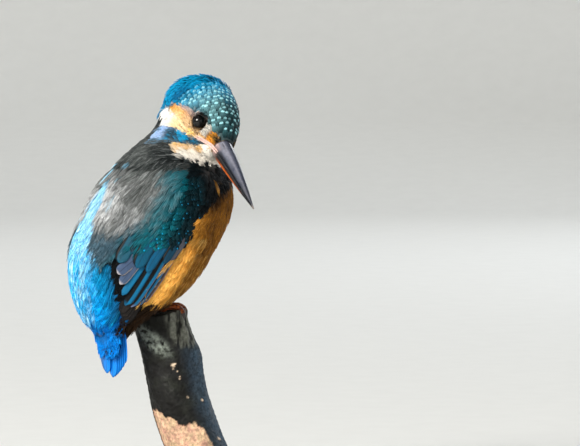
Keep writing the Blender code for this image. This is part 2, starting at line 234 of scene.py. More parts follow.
def tube_faces(start, sides, rings):
    """The faces of a tube of rings, one after another from start, and of its two ends."""
    last = start + (rings - 1) * sides
    faces = [face for a in range(start, last, sides) for face in band(a, a + sides, sides)]
    ends = [tuple(start + i for i in reversed(range(sides))), tuple(last + i for i in range(sides))]
    return faces + ends


def put(mesh, name, values, kind="FLOAT_VECTOR"):
    """Stores one value per vertex as a named attribute."""
    layer = mesh.attributes.new(name, kind, "POINT")
    field = "vector" if kind == "FLOAT_VECTOR" else "value"
    number = np.int32 if kind == "INT" else np.float32
    layer.data.foreach_set(field, np.ascontiguousarray(values, dtype=number).ravel())


def put_map(mesh, places):
    """Stores the map OFBake from a flat place for each vertex."""
    layer = mesh.uv_layers.new(name="OFBake")
    corners = np.empty(len(mesh.loops), dtype=np.int32)
    mesh.loops.foreach_get("vertex_index", corners)
    layer.data.foreach_set("uv", np.array(places, dtype=np.float32)[corners].ravel())


def vertex_places(mesh):
    places = np.empty(len(mesh.vertices) * 3)
    mesh.vertices.foreach_get("co", places)
    return places.reshape(-1, 3)


def vertex_normals(mesh):
    normals = np.empty(len(mesh.vertices) * 3, dtype=np.float32)
    mesh.vertex_normals.foreach_get("vector", normals)
    return normals.reshape(-1, 3).astype(float)


# %% [markdown]
# ## Camera, floor and light
# The camera stands behind the bird's right side, almost level with it, far off with a long lens, so
# that the shapes stay true. The floor is the flat middle of one wide pale bowl, whose rim rises far
# behind the bird, so that no view shows an edge. A large lamp at the upper left does the modelling.

# %% Camera
TURN, RISE = math.radians(-30), math.radians(3)
CAMERA_DISTANCE = 1.6
VIEW_WIDTH = 0.232
AIM_RIGHT, AIM_UP = 0.050, 0.0356
SENSOR_WIDTH = 36
to_camera = Vector((
    math.sin(TURN) * math.cos(RISE), -math.cos(TURN) * math.cos(RISE), math.sin(RISE)
))
to_right = Vector((math.cos(TURN), math.sin(TURN), 0))
to_top = to_camera.cross(to_right)
aim_point = Vector(to_row((0, 0, 0))) + to_right * AIM_RIGHT + to_top * AIM_UP
camera = new_object("camera", bpy.data.cameras.new("camera"))
camera.matrix_world = Matrix.Translation(aim_point + to_camera * CAMERA_DISTANCE) @ (
    Matrix((to_right, to_top, to_camera)).transposed().to_4x4()
)
camera.data.sensor_width = SENSOR_WIDTH
camera.data.lens = SENSOR_WIDTH * CAMERA_DISTANCE / VIEW_WIDTH
scene.camera = camera
scene.view_settings.view_transform = "Standard"


# %% Colours and small material helpers
def tone(red, green, blue):
    """A colour given in display values of 0 to 255, as the linear values that shaders use."""
    return tuple(
        c / 12.92 if c <= 0.04045 else ((c + 0.055) / 1.055) ** 2.4
        for c in (red / 255, green / 255, blue / 255)
    )


class Wiring:
    """Short words for adding nodes to a tree and linking them."""

    def add(self, kind, _settings=None, **inputs):
        """A new node. Each input is given by its name, or by its number after an underline."""
        made = self.tree.nodes.new(kind)
        for key, value in (_settings or {}).items():
            setattr(made, key, value)
        for key, value in inputs.items():
            self.plug(made, int(key[1:]) if key[0] == "_" else key.replace("_", " "), value)
        return made

    def plug(self, made, key, value):
        if isinstance(value, bpy.types.NodeSocket):
            self.tree.links.new(value, made.inputs[key])
        else:
            made.inputs[key].default_value = value

    def math(self, operation, a, b=0.0):
        return self.add("ShaderNodeMath", {"operation": operation}, _0=a, _1=b).outputs[0]

    def times(self, first, *others):
        for other in others:
            first = self.math("MULTIPLY", first, other)
        return first

    def combine(self, x, y, z):
        return self.add("ShaderNodeCombineXYZ", X=x, Y=y, Z=z).outputs[0]

    def parts(self, vector):
        return self.add("ShaderNodeSeparateXYZ", Vector=vector).outputs


class Shader(Wiring):
    """A new material with its Principled shader."""

    def __init__(self, name, roughness=0.5, **uniform):
        self.material = bpy.data.materials.new(name)
        self.material.use_nodes = True
        self.tree = self.material.node_tree
        self.shader = self.tree.nodes["Principled BSDF"]
        self.shader.inputs["Roughness"].default_value = roughness
        for socket, value in uniform.items():
            self.shader.inputs[socket.replace("_", " ")].default_value = value

    def place(self, stretch=None):
        """Where a point lies on its piece, in metres, or stretched by a factor for each axis."""
        here = self.add("ShaderNodeTexCoord").outputs["Object"]
        if stretch is not None:
            here = self.add("ShaderNodeMapping", Vector=here, Scale=stretch).outputs[0]
        return here

    def stored(self, name, part="Color"):
        """A value stored on the piece's vertices."""
        return self.add("ShaderNodeAttribute", {"attribute_name": name}).outputs[part]

    def grain(self, place, size, detail):
        return self.add("ShaderNodeTexNoise", Vector=place, Scale=size, Detail=detail).outputs["Fac"]

    def cells(self, place, size):
        return self.add("ShaderNodeTexVoronoi", Vector=place, Scale=size).outputs["Distance"]

    def blend(self, amount, a, b, way="MIX"):
        a, b = ((*c, 1.0) if isinstance(c, tuple) else c for c in (a, b))
        settings = {"data_type": "RGBA", "blend_type": way}
        return self.add("ShaderNodeMix", settings, _0=amount, _6=a, _7=b).outputs[2]

    def shaded(self, colour, shade):
        """A colour made darker or lighter by a factor."""
        return self.blend(1.0, colour, self.combine(shade, shade, shade), "MULTIPLY")

    def ramp(self, value, low, high, start=0.0, end=1.0):
        """value taken from low..high to start..end, easing at both ends."""
        return self.add(
            "ShaderNodeMapRange", {"interpolation_type": "SMOOTHSTEP"},
            _0=value, _1=low, _2=high, _3=start, _4=end,
        ).outputs[0]

    def barbs(self, across, along, fine, slope):
        """Fine ridges that slant away from a feather's middle, and the run that counts them."""
        run = self.math("ADD", self.times(along, fine), self.times(self.math("ABSOLUTE", across), slope))
        return self.math("SINE", self.times(run, math.tau)), run

    def finish(self, colour, bump=None, strength=0.3, distance=0.0002, roughness=None):
        self.plug(self.shader, "Base Color", colour)
        if bump is not None:
            made = self.add("ShaderNodeBump", Strength=strength, Distance=distance, Height=bump)
            self.plug(self.shader, "Normal", made.outputs[0])
        if roughness is not None:
            self.plug(self.shader, "Roughness", roughness)
        return self.material


def floor_finish():
    s = Shader("pale_floor", 0.9)
    return s.finish(s.blend(s.grain(s.place(), 60.0, 3.0), tone(219, 220, 218), tone(225, 226, 224)))


# %% Floor and lamps
BOWL = ((0.0, 0.0), (2.4, 0.0), (2.9, 0.08), (3.25, 0.35), (3.4, 0.8), (3.45, 3.0))   # radius, height, m
BOWL_SIDES = 96


def make_bowl():
    rim = bmesh.new()
    centre = rim.verts.new((0, 0, 0))
    rings = [
        [rim.verts.new((r * math.cos(math.tau * k / BOWL_SIDES), r * math.sin(math.tau * k / BOWL_SIDES), h))
         for k in range(BOWL_SIDES)] for r, h in BOWL[1:]
    ]
    for k in range(BOWL_SIDES):
        n = (k + 1) % BOWL_SIDES
        rim.faces.new((centre, rings[0][k], rings[0][n]))
        for a, b in zip(rings, rings[1:]):
            rim.faces.new((a[k], b[k], b[n], a[n]))
    mesh = mesh_from(rim, "floor")
    mesh.shade_smooth()
    mesh.materials.append(floor_finish())
    return new_object("floor", mesh)


def lamp(name, toward, distance, size, watts, colour, at=None):
    """An area lamp in a direction given as right, up and towards the camera. It looks at the bird, or
    at a place given as right, up and away from the camera."""
    data = bpy.data.lights.new(name, "AREA")
    data.shape = "DISK"
    data.size = size
    data.energy = watts
    data.color = colour
    way = (to_right * toward[0] + to_top * toward[1] + to_camera * toward[2]).normalized()
    made = new_object(name, data)
    middle = Vector(to_row((0, 0, 35)))
    place = middle + way * distance
    if at is not None:
        way = (place - middle - to_right * at.x + to_camera * at.y - to_top * at.z).normalized()
    made.matrix_world = Matrix.Translation(place) @ way.to_track_quat("Z", "Y").to_matrix().to_4x4()


make_bowl()
lamp("key", (-0.58, 0.56, 0.72), 2.6, 1.3, 108, (1.0, 0.965, 0.91))
lamp("fill", (0.7, 0.2, 0.9), 2.6, 1.6, 4, (0.86, 0.93, 1.0))
lamp("rim", (0.65, 0.5, -0.95), 2.4, 1.0, 15, (0.90, 0.94, 1.0))
lamp("backdrop", (0.0, 0.75, -0.66), 2.2, 1.2, 7, (1.0, 1.0, 1.0), Vector((0.0, 3.2, 0.3)))
world = bpy.data.worlds.new("studio")
world.use_nodes = True
world.node_tree.nodes["Background"].inputs["Color"].default_value = (0.88, 0.93, 1.0, 1.0)
world.node_tree.nodes["Background"].inputs["Strength"].default_value = 0.19
scene.world = world
print("camera, floor and four lamps are in place")

# %% [markdown]
# ## The skin
# Under the feathers a bird has one continuous skin. The solids of trunk, neck, head and wings end at
# the feather tips, so copies of them are grown until they meet, fused by a voxel remesh, smoothed,
# and then drawn in by the depth of the coat, which is thin on the face and deepest on the trunk.

# %% Fuse the solids of flesh
FLESH = ("trunk", "neck", "head", "wing_right", "wing_left")
CLOSE_GAP = 0.25                        # mm that each copy grows, so that the copies meet
SKIN_VOXEL = 0.75                       # mm
COAT_DEPTH = {"head": 0.75, "neck": 1.1, "trunk": 1.25, "wing_right": 0.8, "wing_left": 0.8}


def merged_copy(name):
    """One node's solid as a bmesh with its loose triangles joined."""
    shell = bmesh.new()
    shell.from_mesh(NODES[name].data)
    bmesh.ops.remove_doubles(shell, verts=shell.verts, dist=1e-6)
    return shell


def grown(names, amount):
    """The solids of several nodes in one mesh, each grown outwards."""
    everything = bmesh.new()
    for name in names:
        shell = merged_copy(name)
        shell.normal_update()
        for v in shell.verts:
            v.co += v.normal * amount * MM
        part = mesh_from(shell, "part")
        everything.from_mesh(part)
        bpy.data.meshes.remove(part)
    return mesh_from(everything, "fused")


def fused(names, amount, voxel, smoothing, lumps=()):
    """One closed mesh from the solids of several nodes, and any ellipsoids added to them."""
    form = new_object("form", grown(names, amount))
    if lumps:
        shape = bmesh.new()
        shape.from_mesh(form.data)
        for middle, reach in lumps:
            place = Matrix.Translation(Vector(to_row(middle))) @ Matrix.Diagonal((*(reach * MM), 1.0))
            bmesh.ops.create_icosphere(shape, subdivisions=3, radius=1.0, matrix=place)
        shape.to_mesh(form.data)
        shape.free()
    remesh = form.modifiers.new("fuse", "REMESH")
    remesh.mode = "VOXEL"
    remesh.voxel_size = voxel * MM
    soften = form.modifiers.new("soften", "SMOOTH")
    soften.factor = 0.5
    soften.iterations = smoothing
    mesh = applied(form)
    bpy.data.objects.remove(form)
    return mesh


def tree_of(name):
    shell = merged_copy(name)
    tree = BVHTree.FromBMesh(shell)
    shell.free()
    return tree


THIGH, THIGH_REACH = np.array((-5.5, 6.4, 5.4)), np.array((5.2, 4.0, 4.8))
FLUFF = (                               # middle and reach of each soft lump, on the left side
    (THIGH, THIGH_REACH),
    # the loose flank that folds up over the wing's edge
    ((-2.6, 21.4, 24.5), (5.0, 4.9, 6.0)), ((-5.2, 21.2, 20.0), (5.0, 5.1, 6.0)),
    ((-8.2, 20.6, 15.5), (5.0, 5.2, 6.0)), ((-11.2, 19.2, 11.3), (5.0, 5.2, 6.0)),
    ((-14.2, 17.2, 7.5), (5.0, 5.1, 5.5)),
    # the fullness of the upper breast, and the ramp from the rump down to the tail
    ((20.4, 8.0, 46.5), (6.0, 8.0, 13.5)), ((-26.4, 3.0, -8.0), (3.4, 7.0, 6.5)),
)
HEAD_TRIM = (((-0.05, 0.42, 0.88), 0.9), ((-0.6, -0.65, -0.1), -0.8))   # way in the head's frame, more depth
TRIM_FROM, TRIM_SPAN = 0.45, 0.5        # the cosines over which a trim comes in
BILL_SHARE, BILL_REACH = 0.35, 22.0     # share of the depth at the bill's root, and mm over which it grows
SMOOTHING = 6
lumps = [(np.array(at) * np.array((1, side, 1)), np.array(reach)) for side in (-1, 1) for at, reach in FLUFF]
skin_mesh = fused(FLESH, CLOSE_GAP, SKIN_VOXEL, SMOOTHING, lumps)
trees = {name: tree_of(name) for name in FLESH}
distances = np.array([
    [trees[name].find_nearest(v.co)[3] for name in FLESH] for v in skin_mesh.vertices
])
owner = distances.argmin(axis=1)
depth = np.array([COAT_DEPTH[name] for name in FLESH])[owner] + CLOSE_GAP
bill_root = np.array(head_to_perch((15.0, 0.0, -1.5)))
from_bill = np.linalg.norm(to_perch(vertex_places(skin_mesh)) - bill_root, axis=1)
depth = depth * np.clip(BILL_SHARE + from_bill / BILL_REACH, BILL_SHARE, 1.0)
facing = vertex_normals(skin_mesh) @ HEAD_AXES
for way, more in HEAD_TRIM:
    share = np.clip((facing @ unit(np.array(way)) - TRIM_FROM) / TRIM_SPAN, 0, 1)
    depth += np.where(owner == FLESH.index("head"), more * share * share * (3 - 2 * share), 0)
drawn_in = vertex_places(skin_mesh) - vertex_normals(skin_mesh) * depth[:, None] * MM
skin_mesh.vertices.foreach_set("co", drawn_in.ravel())
skin_mesh.update()
print("skin:", len(skin_mesh.vertices), "vertices")

# %% [markdown]
# ## The plan of the coat
# A feather's tract decides its size, its colours and the way that it lies. All of it is a rule of
# place: on the trunk, the height and the angle from the middle of the back; on the head, the
# direction and distance from the corner of the gape, because a kingfisher's face is a fan of stripes
# that opens behind the bill. The skin carries the same colours as the feathers that grow on it.

# %% Colours of the bird
ICE, AZURE, DEEP_AZURE = tone(208, 244, 252), tone(4, 186, 252), tone(0, 166, 252)
NAVY, INK, TAIL_COVERT = tone(0, 32, 66), tone(1, 5, 9), tone(0, 132, 228)
NAPE, NAPE_DARK = tone(0, 156, 208), tone(0, 104, 154)
TEAL, TEAL_DARK, TEAL_BLACK = tone(0, 102, 116), tone(1, 44, 54), tone(0, 16, 22)
CROWN_GREEN, TURQUOISE, SPOT_BLUE = tone(46, 92, 98), tone(160, 220, 228), tone(10, 150, 206)
# The first two greys are painted sheen: the silver and light grey that teal shoulder feathers show where
# light glances off them.
SHEEN_SILVER, SHEEN_GREY, SMOKE, SOOT = tone(206, 208, 210), tone(146, 149, 150), tone(90, 95, 94), tone(36, 42, 43)
SLATE, SEA_GREY = tone(66, 96, 112), tone(22, 68, 84)
# The third orange is painted shade: the breast's orange where it turns away from the light.
ORANGE, ORANGE_PALE, SHADED_ORANGE = tone(244, 160, 44), tone(255, 206, 112), tone(94, 63, 30)
CREAM, WHITE, BUFF = tone(252, 234, 206), tone(253, 251, 246), tone(234, 190, 126)
PINK_GREY, UMBER = tone(200, 172, 158), tone(34, 22, 14)
VIOLET, MAUVE = tone(172, 196, 236), tone(134, 150, 176)

# %% Where the tracts lie
TRACTS = (
    "breast", "belly", "flank", "vent", "back", "rump", "mantle", "scapulars", "coverts", "breast_side",
    "hollow", "thigh", "tail_root", "crown", "nape", "ear", "cheek", "malar", "throat", "lore", "gape",
)
TRACT = {name: k for k, name in enumerate(TRACTS)}
print("tracts:", len(TRACTS))
GAPE = np.array((12.0, -3.0))           # the corner of the gape, in the head's X and Z
BILL_POINT = np.array((20.0, 0.0, -1.0))
AZURE_EDGE = (                          # height, angle from the mid back at which the azure ends
    (-12, 92), (-6, 85), (-1, 74), (3, 57), (9, 47), (16, 42), (20, 37), (25, 28), (30, 18), (36, 13.5),
    (41, 11.5), (46, 11), (50, 9), (53, 4), (56, 0),
)
STRAYS = ((57.5, 14.0, 2.4, 2.0), (48.5, 20.0, 4.0, 2.0))   # azure between the shoulders: place and reach
WING_EDGES = (                          # height, upper and lower edge as angles from the mid back
    (-4, 60, 86), (3, 57, 88), (8, 55, 86), (14, 50, 85.5), (17, 48, 86), (21, 46, 89), (25, 42, 92.5),
    (30, 30, 98), (38, 22, 97), (42, 23, 99), (46, 26, 102), (50, 30, 100), (56, 42, 96), (60, 62, 92),
)
# Where the dark patch beside the breast ends. The dark there is partly the patch's own teal-black and partly
# painted shadow of the head and bill.
DARK_EDGE = ((38, 101), (41, 107), (44, 113), (46, 120), (48, 134), (49.5, 150), (51, 175))
SILK_EDGE = ((16, 48), (22, 53), (27, 62), (30, 68), (36, 72), (41, 73), (46, 77), (53, 80), (60, 84))
THROAT_REACH = ((-180, 6), (-130, 7.2), (-110, 8.6), (-100, 9.6), (-82, 10.6), (-62, 12.2), (-54, 12.6))
# The tuft's orange is painted paler as a highlight.
BREAST_TUFT = (49.6, 117.0, 1.0, 2.6)   # a tuft of orange in the dark: height, angle and reach of each
CROWN_EDGE = (
    (-23, -18), (-18, -13.5), (-14, -8), (-10, -3.6), (-4, 0.5), (1, 2.4), (4.8, 3.4), (8, 3.6),
    (14, 3.0), (18, 2.0),
)


def ease(low, high, x):
    """A share for each value: 0 at low, 1 at high, easing at both ends."""
    t = np.clip((x - low) / (high - low), 0, 1)
    return t * t * (3 - 2 * t)


def between(a, b, share):
    """Colours on the way from a to b, by one share or by one for each point."""
    share = np.asarray(share)[..., None]
    return np.array(a) * (1 - share) + np.array(b) * share


def off_patch(z, angle, patch):
    """How far points of the trunk lie from a patch's middle: squared, and 1 at its edge."""
    height, turn, tall, wide = patch
    return ((z - height) / tall) ** 2 + ((angle - turn) / wide) ** 2


def back_angle(p):
    """Degrees round the torso from the middle of the back, on either side."""
    middle, reach, half = torso_at(p[:, 2])
    return np.degrees(np.arctan2(np.abs(p[:, 1]) / half, -(p[:, 0] - middle) / reach))


def gape_fan(h):
    """Angle above the level line behind the gape, and distance from it, in the head's side view."""
    behind, above = GAPE[0] - h[:, 0], h[:, 2] - GAPE[1]
    return np.degrees(np.arctan2(above, behind)), np.hypot(behind, above)


def ruled(found, rules):
    """Tract numbers after rules, each a tract's name and where it holds."""
    for name, where in rules:
        found[where] = TRACT[name]
    return found


def trunk_tracts(p):
    z, angle = p[:, 2], back_angle(p)
    lower = follow(WING_EDGES, z, 2)
    azure_angle = np.where((p[:, 1] > 0) & (z < 48), angle * 0.6, angle)
    azure = azure_angle < follow(AZURE_EDGE, z)
    for stray in STRAYS:
        azure |= off_patch(z, angle, stray) < 1
    on_wing = angle < lower
    from_thigh = (np.column_stack((p[:, 0], np.abs(p[:, 1]), z)) - THIGH) / THIGH_REACH
    tail_side = (z < -2) & (p[:, 0] < np.where(z < -7, -24.6, -25.5))
    rules = (                           # a later rule covers the earlier ones
        ("belly", z < 24),
        ("flank", (z < 30) & (angle < lower + 24)),
        ("vent", z < 5.0 + 2.5 * ease(92, 76, angle)),
        ("breast_side", (z > 38) & (angle < follow(DARK_EDGE, z))),
        ("breast", off_patch(z, angle, BREAST_TUFT) < 1),
        ("coverts", on_wing & (z > -6)),
        ("breast_side", on_wing & (z > 53)),
        ("scapulars", (angle < follow(SILK_EDGE, z)) & (z > 21 + 8 * ease(36, 50, angle))),
        # In the gap between the rump and the wing, short black plumes stand as painted shadow.
        ("hollow", on_wing & (z <= 22) & (angle < 66)),
        ("mantle", (z > 57) & (angle < 84)),
        ("back", azure & (z > 24)),
        ("rump", azure & (z <= 24)),
        ("tail_root", (azure & (z < 0)) | tail_side),
        ("thigh", (np.linalg.norm(from_thigh, axis=1) < 1.12) & (z < 7)),
    )
    return ruled(np.full(len(p), TRACT["breast"]), rules)


def head_tracts(p, on_head):
    """Tracts of the head, and -1 where the neck belongs to the trunk."""
    h = perch_to_head(p)
    fan, away = gape_fan(h)
    crown_edge = follow(CROWN_EDGE, h[:, 0])
    reach = follow(THROAT_REACH, fan) - 2.6 * np.clip(h[:, 1] / 5, 0, 1)
    limit = np.where(fan > -24, 28.0, np.where(fan > -54, 24.0, reach))
    found = np.where((fan > -24) & (fan < 90), TRACT["nape"], -1)
    inside = away < limit
    behind = inside & (fan < 90)
    above = (h[:, 2] > crown_edge) & (away < 36)
    rules = (
        ("throat", inside),
        ("malar", behind & (fan > -54)),
        ("cheek", behind & (fan > -28)),
        ("gape", behind & (fan > -28) & (h[:, 0] > 1.5)),
        ("ear", behind & (fan > -11)),
        ("lore", (h[:, 0] > 6.0) & (h[:, 2] > -1.9) & (h[:, 2] <= crown_edge)),
        ("crown", above),
        ("nape", above & (h[:, 0] < -9.0)),
    )
    found = ruled(found, rules)
    found[(found == -1) & on_head] = TRACT["throat"]
    return found


EYE_AT = np.array((3.4, 8.4, -0.1))
EYE_CLEARING, CLEARING_AHEAD = 2.05, 0.5   # reach of the featherless ring, and how far it lies before the eye


def by_the_eye(p):
    """Whether a point lies in the featherless ring round an eye, seen from the side."""
    h = perch_to_head(p)
    return np.hypot(h[:, 0] - EYE_AT[0] - CLEARING_AHEAD, h[:, 2] - EYE_AT[2]) < EYE_CLEARING


def tracts_at(p, on_head, on_neck):
    found = trunk_tracts(p)
    high = on_head | on_neck
    upper = head_tracts(p, on_head)
    return np.where(high & (upper >= 0), upper, found)


# %% Which way the feathers lie
def wave_noise(p, size, seed=0.0):
    """Slow random variation from -1 to 1 over a distance in millimetres."""
    return np.array([noise.noise(Vector(q / size) + Vector((seed, 0, 0))) for q in p])


FLOW_BACK = unit(np.array((-0.50, 0.0, -0.86)))
FLOW_SIDE = unit(np.array((-0.68, 0.0, -0.73)))


def lie_at(p, normals, high):
    """Unit vectors along the skin, from root to tip: away from the bill on the head and neck (high),
    and down the trunk."""
    angle = back_angle(p)
    side = np.clip(np.minimum(angle - 20, 170 - angle) / 50, 0, 1)[:, None]
    trunk_flow = unit(FLOW_BACK * (1 - side) + FLOW_SIDE * side)
    low = np.clip((4 - p[:, 2]) / 10, 0, 1)[:, None]
    by_leg = (np.hypot(p[:, 0] - THIGH[0], np.abs(p[:, 1]) - THIGH[1]) < 5.4) & (p[:, 2] < 7)
    low[by_leg] = 1.0
    trunk_flow = unit(trunk_flow * (1 - low) + np.array((0.1, 0, -1.0)) * low)
    h = perch_to_head(p) - BILL_POINT
    distance = np.linalg.norm(h, axis=1)
    radial = unit(h) @ HEAD_AXES.T
    start, span = np.where(high, 22, 10), np.where(high, 17, 12)
    turn = np.clip((distance - start) / span, 0, 1)[:, None]
    turn = turn * turn * (3 - 2 * turn)
    flow = radial * (1 - turn) + trunk_flow * turn
    ruffle = wave_noise(p, 6.5, 40.0)[:, None] * np.clip((p[:, 2] - 14) / 20, 0, 1)[:, None] * turn
    flow += np.cross(normals, unit(flow)) * ruffle * 0.5
    flow -= normals * (flow * normals).sum(axis=1)[:, None]
    return unit(flow)


# %% Colour by tract and place
def paint(p, tract):
    """Main, fringe and mark colours of the feather rooted at each point, and how strong its painted glints,
    mark and fringe are."""
    count = len(p)
    main, fringe, mark, traits = (np.zeros((count, 3)) for _ in range(4))
    z, angle, h = p[:, 2], back_angle(p), perch_to_head(p)
    fan, away = gape_fan(h)
    shade, patch = wave_noise(p, 6.0), wave_noise(p, 3.0, 20.0)

    # The first trait of each tract is the strength of its painted glints: locks that turn to the mark's
    # colour as if they caught the light.
    def fill(name, main_tone, fringe_tone, mark_tone, glint=0.0, spot=0.0, edge=0.3):
        at = tract == TRACT[name]
        for array, value in ((main, main_tone), (fringe, fringe_tone), (mark, mark_tone)):
            array[at] = np.broadcast_to(value, (count, 3))[at]
        for k, value in enumerate((glint, spot, edge)):
            traits[at, k] = np.broadcast_to(value, count)[at]

    # Painted shade: towards the front, which turns away from the light, the breast, its fringes and its
    # glints go from orange to a darker shaded orange.
    front = ease(96, 116, angle)
    breast = between(ORANGE, SHADED_ORANGE, np.clip(front * 0.8 + 0.2 * shade, 0, 1))
    high = ease(38, 43, z)
    # Painted shadow of the head and bill: towards that edge the breast darkens to umber and loses its glints.
    head_shadow = ease(14, 2, angle - follow(DARK_EDGE, z)) * high * 0.85
    # A small tuft of orange feathers in that shadow, painted paler orange as a highlight.
    tuft = ease(1.3, 0.5, np.sqrt(off_patch(z, angle, BREAST_TUFT)))
    chest = between(between(breast, UMBER, head_shadow), between(ORANGE, ORANGE_PALE, 0.3), tuft)
    shaded_fringe = between(ORANGE_PALE, SHADED_ORANGE, front)
    chest_mark = between(ORANGE_PALE, ORANGE, front)
    fill("breast", chest, between(shaded_fringe, chest, head_shadow), chest_mark, 0.25 * (1 - head_shadow), edge=0.4)
    fill("belly", between(breast, ORANGE, 0.15), shaded_fringe, ORANGE_PALE, 0.45, edge=0.5)
    # Painted shadow under the belly: the vent is dark brown, turning black towards the back, and the thigh
    # feathers are dark brown too.
    vent = between(between(SHADED_ORANGE, UMBER, 0.8), INK, ease(112, 84, angle) * 0.8)
    # Painted light and shade on the flank: pale orange along the strip that turns to the light, darker
    # towards the front that turns away, with pale fringes on the lit side.
    flank = between(between(ORANGE, ORANGE_PALE, 0.4), SHADED_ORANGE, ease(102, 116, angle) * 0.8)
    flank_fringe = between(ORANGE_PALE, ORANGE, ease(98, 108, angle))
    fill("flank", flank, flank_fringe, ORANGE_PALE, glint=0.7, edge=0.7)
    fill("vent", vent, between(vent, SHADED_ORANGE, 0.3), SHADED_ORANGE, 0.1)
    fill("thigh", between(UMBER, SHADED_ORANGE, 0.45), SHADED_ORANGE, between(SHADED_ORANGE, ORANGE, 0.3), 0.2)
    back = between(AZURE, ICE, 0.14 + ease(20, 46, z + 8 * shade) * 0.3)
    # Painted glints: locks of the back turn ice-pale.
    fill("back", back, between(back, ICE, 0.6), ICE, glint=0.75, edge=0.5)
    depth_of_blue = ease(-10, 18, z - (angle - 20) * 0.45 + 6 * shade)
    rump = between(DEEP_AZURE, AZURE, depth_of_blue)
    # Painted shadow: the rump darkens towards navy along its edge, in the gap next to the wing.
    rump = between(rump, NAVY, ease(0, 12, angle - follow(AZURE_EDGE, z) + 12) * 0.6)
    # Painted highlights: pale ice streaks and glints on the rump's side nearest the middle of the back, which
    # faces the light.
    pale = ease(34, 8, angle)
    along = wave_noise(np.column_stack((p[:, 0], p[:, 1], z * 0.28)), 1.7, 80.0)
    rump = between(rump, ICE, ease(-0.15, 0.35, along) * pale * 0.8)
    rump = between(rump, between(DEEP_AZURE, NAVY, 0.5), ease(-0.1, -0.5, along) * 0.25)
    rump_mark = between(AZURE, ICE, pale)
    fill("rump", rump, between(rump, AZURE, 0.5), rump_mark, glint=0.3 + 0.3 * pale, edge=0.4)
    fill("tail_root", TAIL_COVERT, TAIL_COVERT, DEEP_AZURE, glint=0.2)
    # Painted sheen on the mantle: slow patches of lighter grey on dark grey, and glints of light grey.
    wide = wave_noise(p, 11.0, 60.0)
    fill("mantle", between(SOOT, SMOKE, ease(-0.3, 0.5, wide) * 0.8), SMOKE, SHEEN_GREY, glint=0.35, edge=0.25)
    # The grey of the scapulars is painted sheen over their own teal: lighter patches of it, less of it at the
    # top, a silver highlight towards the middle of the back, silver fringes and glints, and glints whose
    # strength is shine. Lower down and towards the wing it gives way to slate, sea grey and teal.
    silk = between(SMOKE, SHEEN_GREY, ease(-0.55, 0.25, wide + 0.4 * shade))
    silk = between(silk, SMOKE, ease(53, 59, z) * 0.8)
    silk = between(silk, SLATE, ease(39, 31, z + 3 * shade))
    silk = between(silk, SHEEN_SILVER, ease(38, 26, angle) * ease(35, 42, z) * ease(55, 49, z) * 0.75)
    silk = between(silk, SEA_GREY, ease(43, 35, z) * ease(40, 54, angle) * 0.95)
    silk = between(silk, TEAL, ease(-24, -8, angle - follow(SILK_EDGE, z) + 6 * shade) * 0.92)
    shine = 1 - 0.95 * ease(-26, -12, angle - follow(SILK_EDGE, z))
    shine = shine * (1 - 0.6 * (ease(43, 35, z) * ease(40, 54, angle)))
    shine = shine * (0.5 + 0.5 * ease(-0.2, 0.25, wide)) * (1 - 0.85 * ease(41, 32, z))
    silk_fringe = between(silk, SHEEN_SILVER, 0.3 * ease(30, 40, z))
    fill("scapulars", silk, silk_fringe, between(silk, SHEEN_SILVER, 0.65), shine, edge=0.45)
    dark = ease(74, 86, angle + 6 * patch)
    covert = between(between(TEAL, TEAL_DARK, ease(-0.5, 0.7, shade) * 0.8), TEAL_BLACK, dark * 0.94)
    dots = 0.5 + 0.5 * ease(36, 30, z)
    dots[z > 46] = 0.12
    fill("coverts", covert, between(covert, TEAL_DARK, 0.5), SPOT_BLUE, spot=dots, edge=0.25)
    # Painted shadow: black plumes fill the gap between the rump and the wing.
    fill("hollow", INK, TEAL_BLACK, INK)
    # The patch beside the breast is teal-black feathers, turning black towards the front as painted shadow of
    # the bill.
    fill("breast_side", between(TEAL_BLACK, INK, ease(92, 116, angle)), TEAL_BLACK, TEAL_DARK, edge=0.2)
    crown = between(CROWN_GREEN, NAPE, ease(5, -7, h[:, 0] + 2 * patch))
    crown = between(crown, TEAL_DARK, ease(-0.1, 0.7, shade) * 0.6)
    crown = between(crown, TURQUOISE, ease(-2, -7, h[:, 1]) * ease(-7, -2, h[:, 0]) * 0.28)
    # Painted shade: towards the bill and over the far side, which turn away from the light, the crown darkens
    # to teal-black.
    far_side = np.maximum(ease(4, 12, h[:, 0]), ease(1, 6, h[:, 1])) * ease(-2, 5, h[:, 1])
    crown = between(crown, TEAL_BLACK, far_side * 0.6)
    spots = 0.35 + 0.65 * ease(-9, -3, h[:, 0])
    spots = spots * (1 - 0.6 * ease(0.2, 0.5, patch)) * (1 - 0.6 * ease(2, 7, h[:, 1]))
    mark_tone = between(TURQUOISE, SPOT_BLUE, ease(-2, -9, h[:, 0]) * 0.75)
    fill("crown", between(crown, INK, 0.15), between(crown, INK, 0.5), mark_tone, spot=spots, edge=0.5)
    nape = between(NAPE, NAPE_DARK, ease(-0.4, 0.7, shade))
    fill("nape", nape, between(nape, AZURE, 0.35), SPOT_BLUE, glint=0.25, edge=0.45)
    above_line = h[:, 2] - follow(CROWN_EDGE, h[:, 0])
    upper = ease(-5.5, -1.5, above_line + patch)
    deep = np.clip(upper * 0.75 + ease(0.1, 0.5, patch) * 0.6, 0, 1)
    ear = between(between(ORANGE_PALE, ORANGE, 0.2), ORANGE, deep)
    ear = between(ear, MAUVE, ease(-10, -5, h[:, 0]) * ease(-3.2, -0.6, above_line + patch) * 0.8)
    ear = between(ear, PINK_GREY, ease(-5, 0, h[:, 0]) * 0.5)
    ear = between(ear, CREAM, ease(13, 18, away) * ease(-2.5, -5.0, above_line) * 0.45)
    fill("ear", ear, between(ear, CREAM, 0.5), CREAM, glint=0.3, edge=0.4)
    cheek = between(between(CREAM, ORANGE_PALE, 0.5), WHITE, ease(16, 21, away))
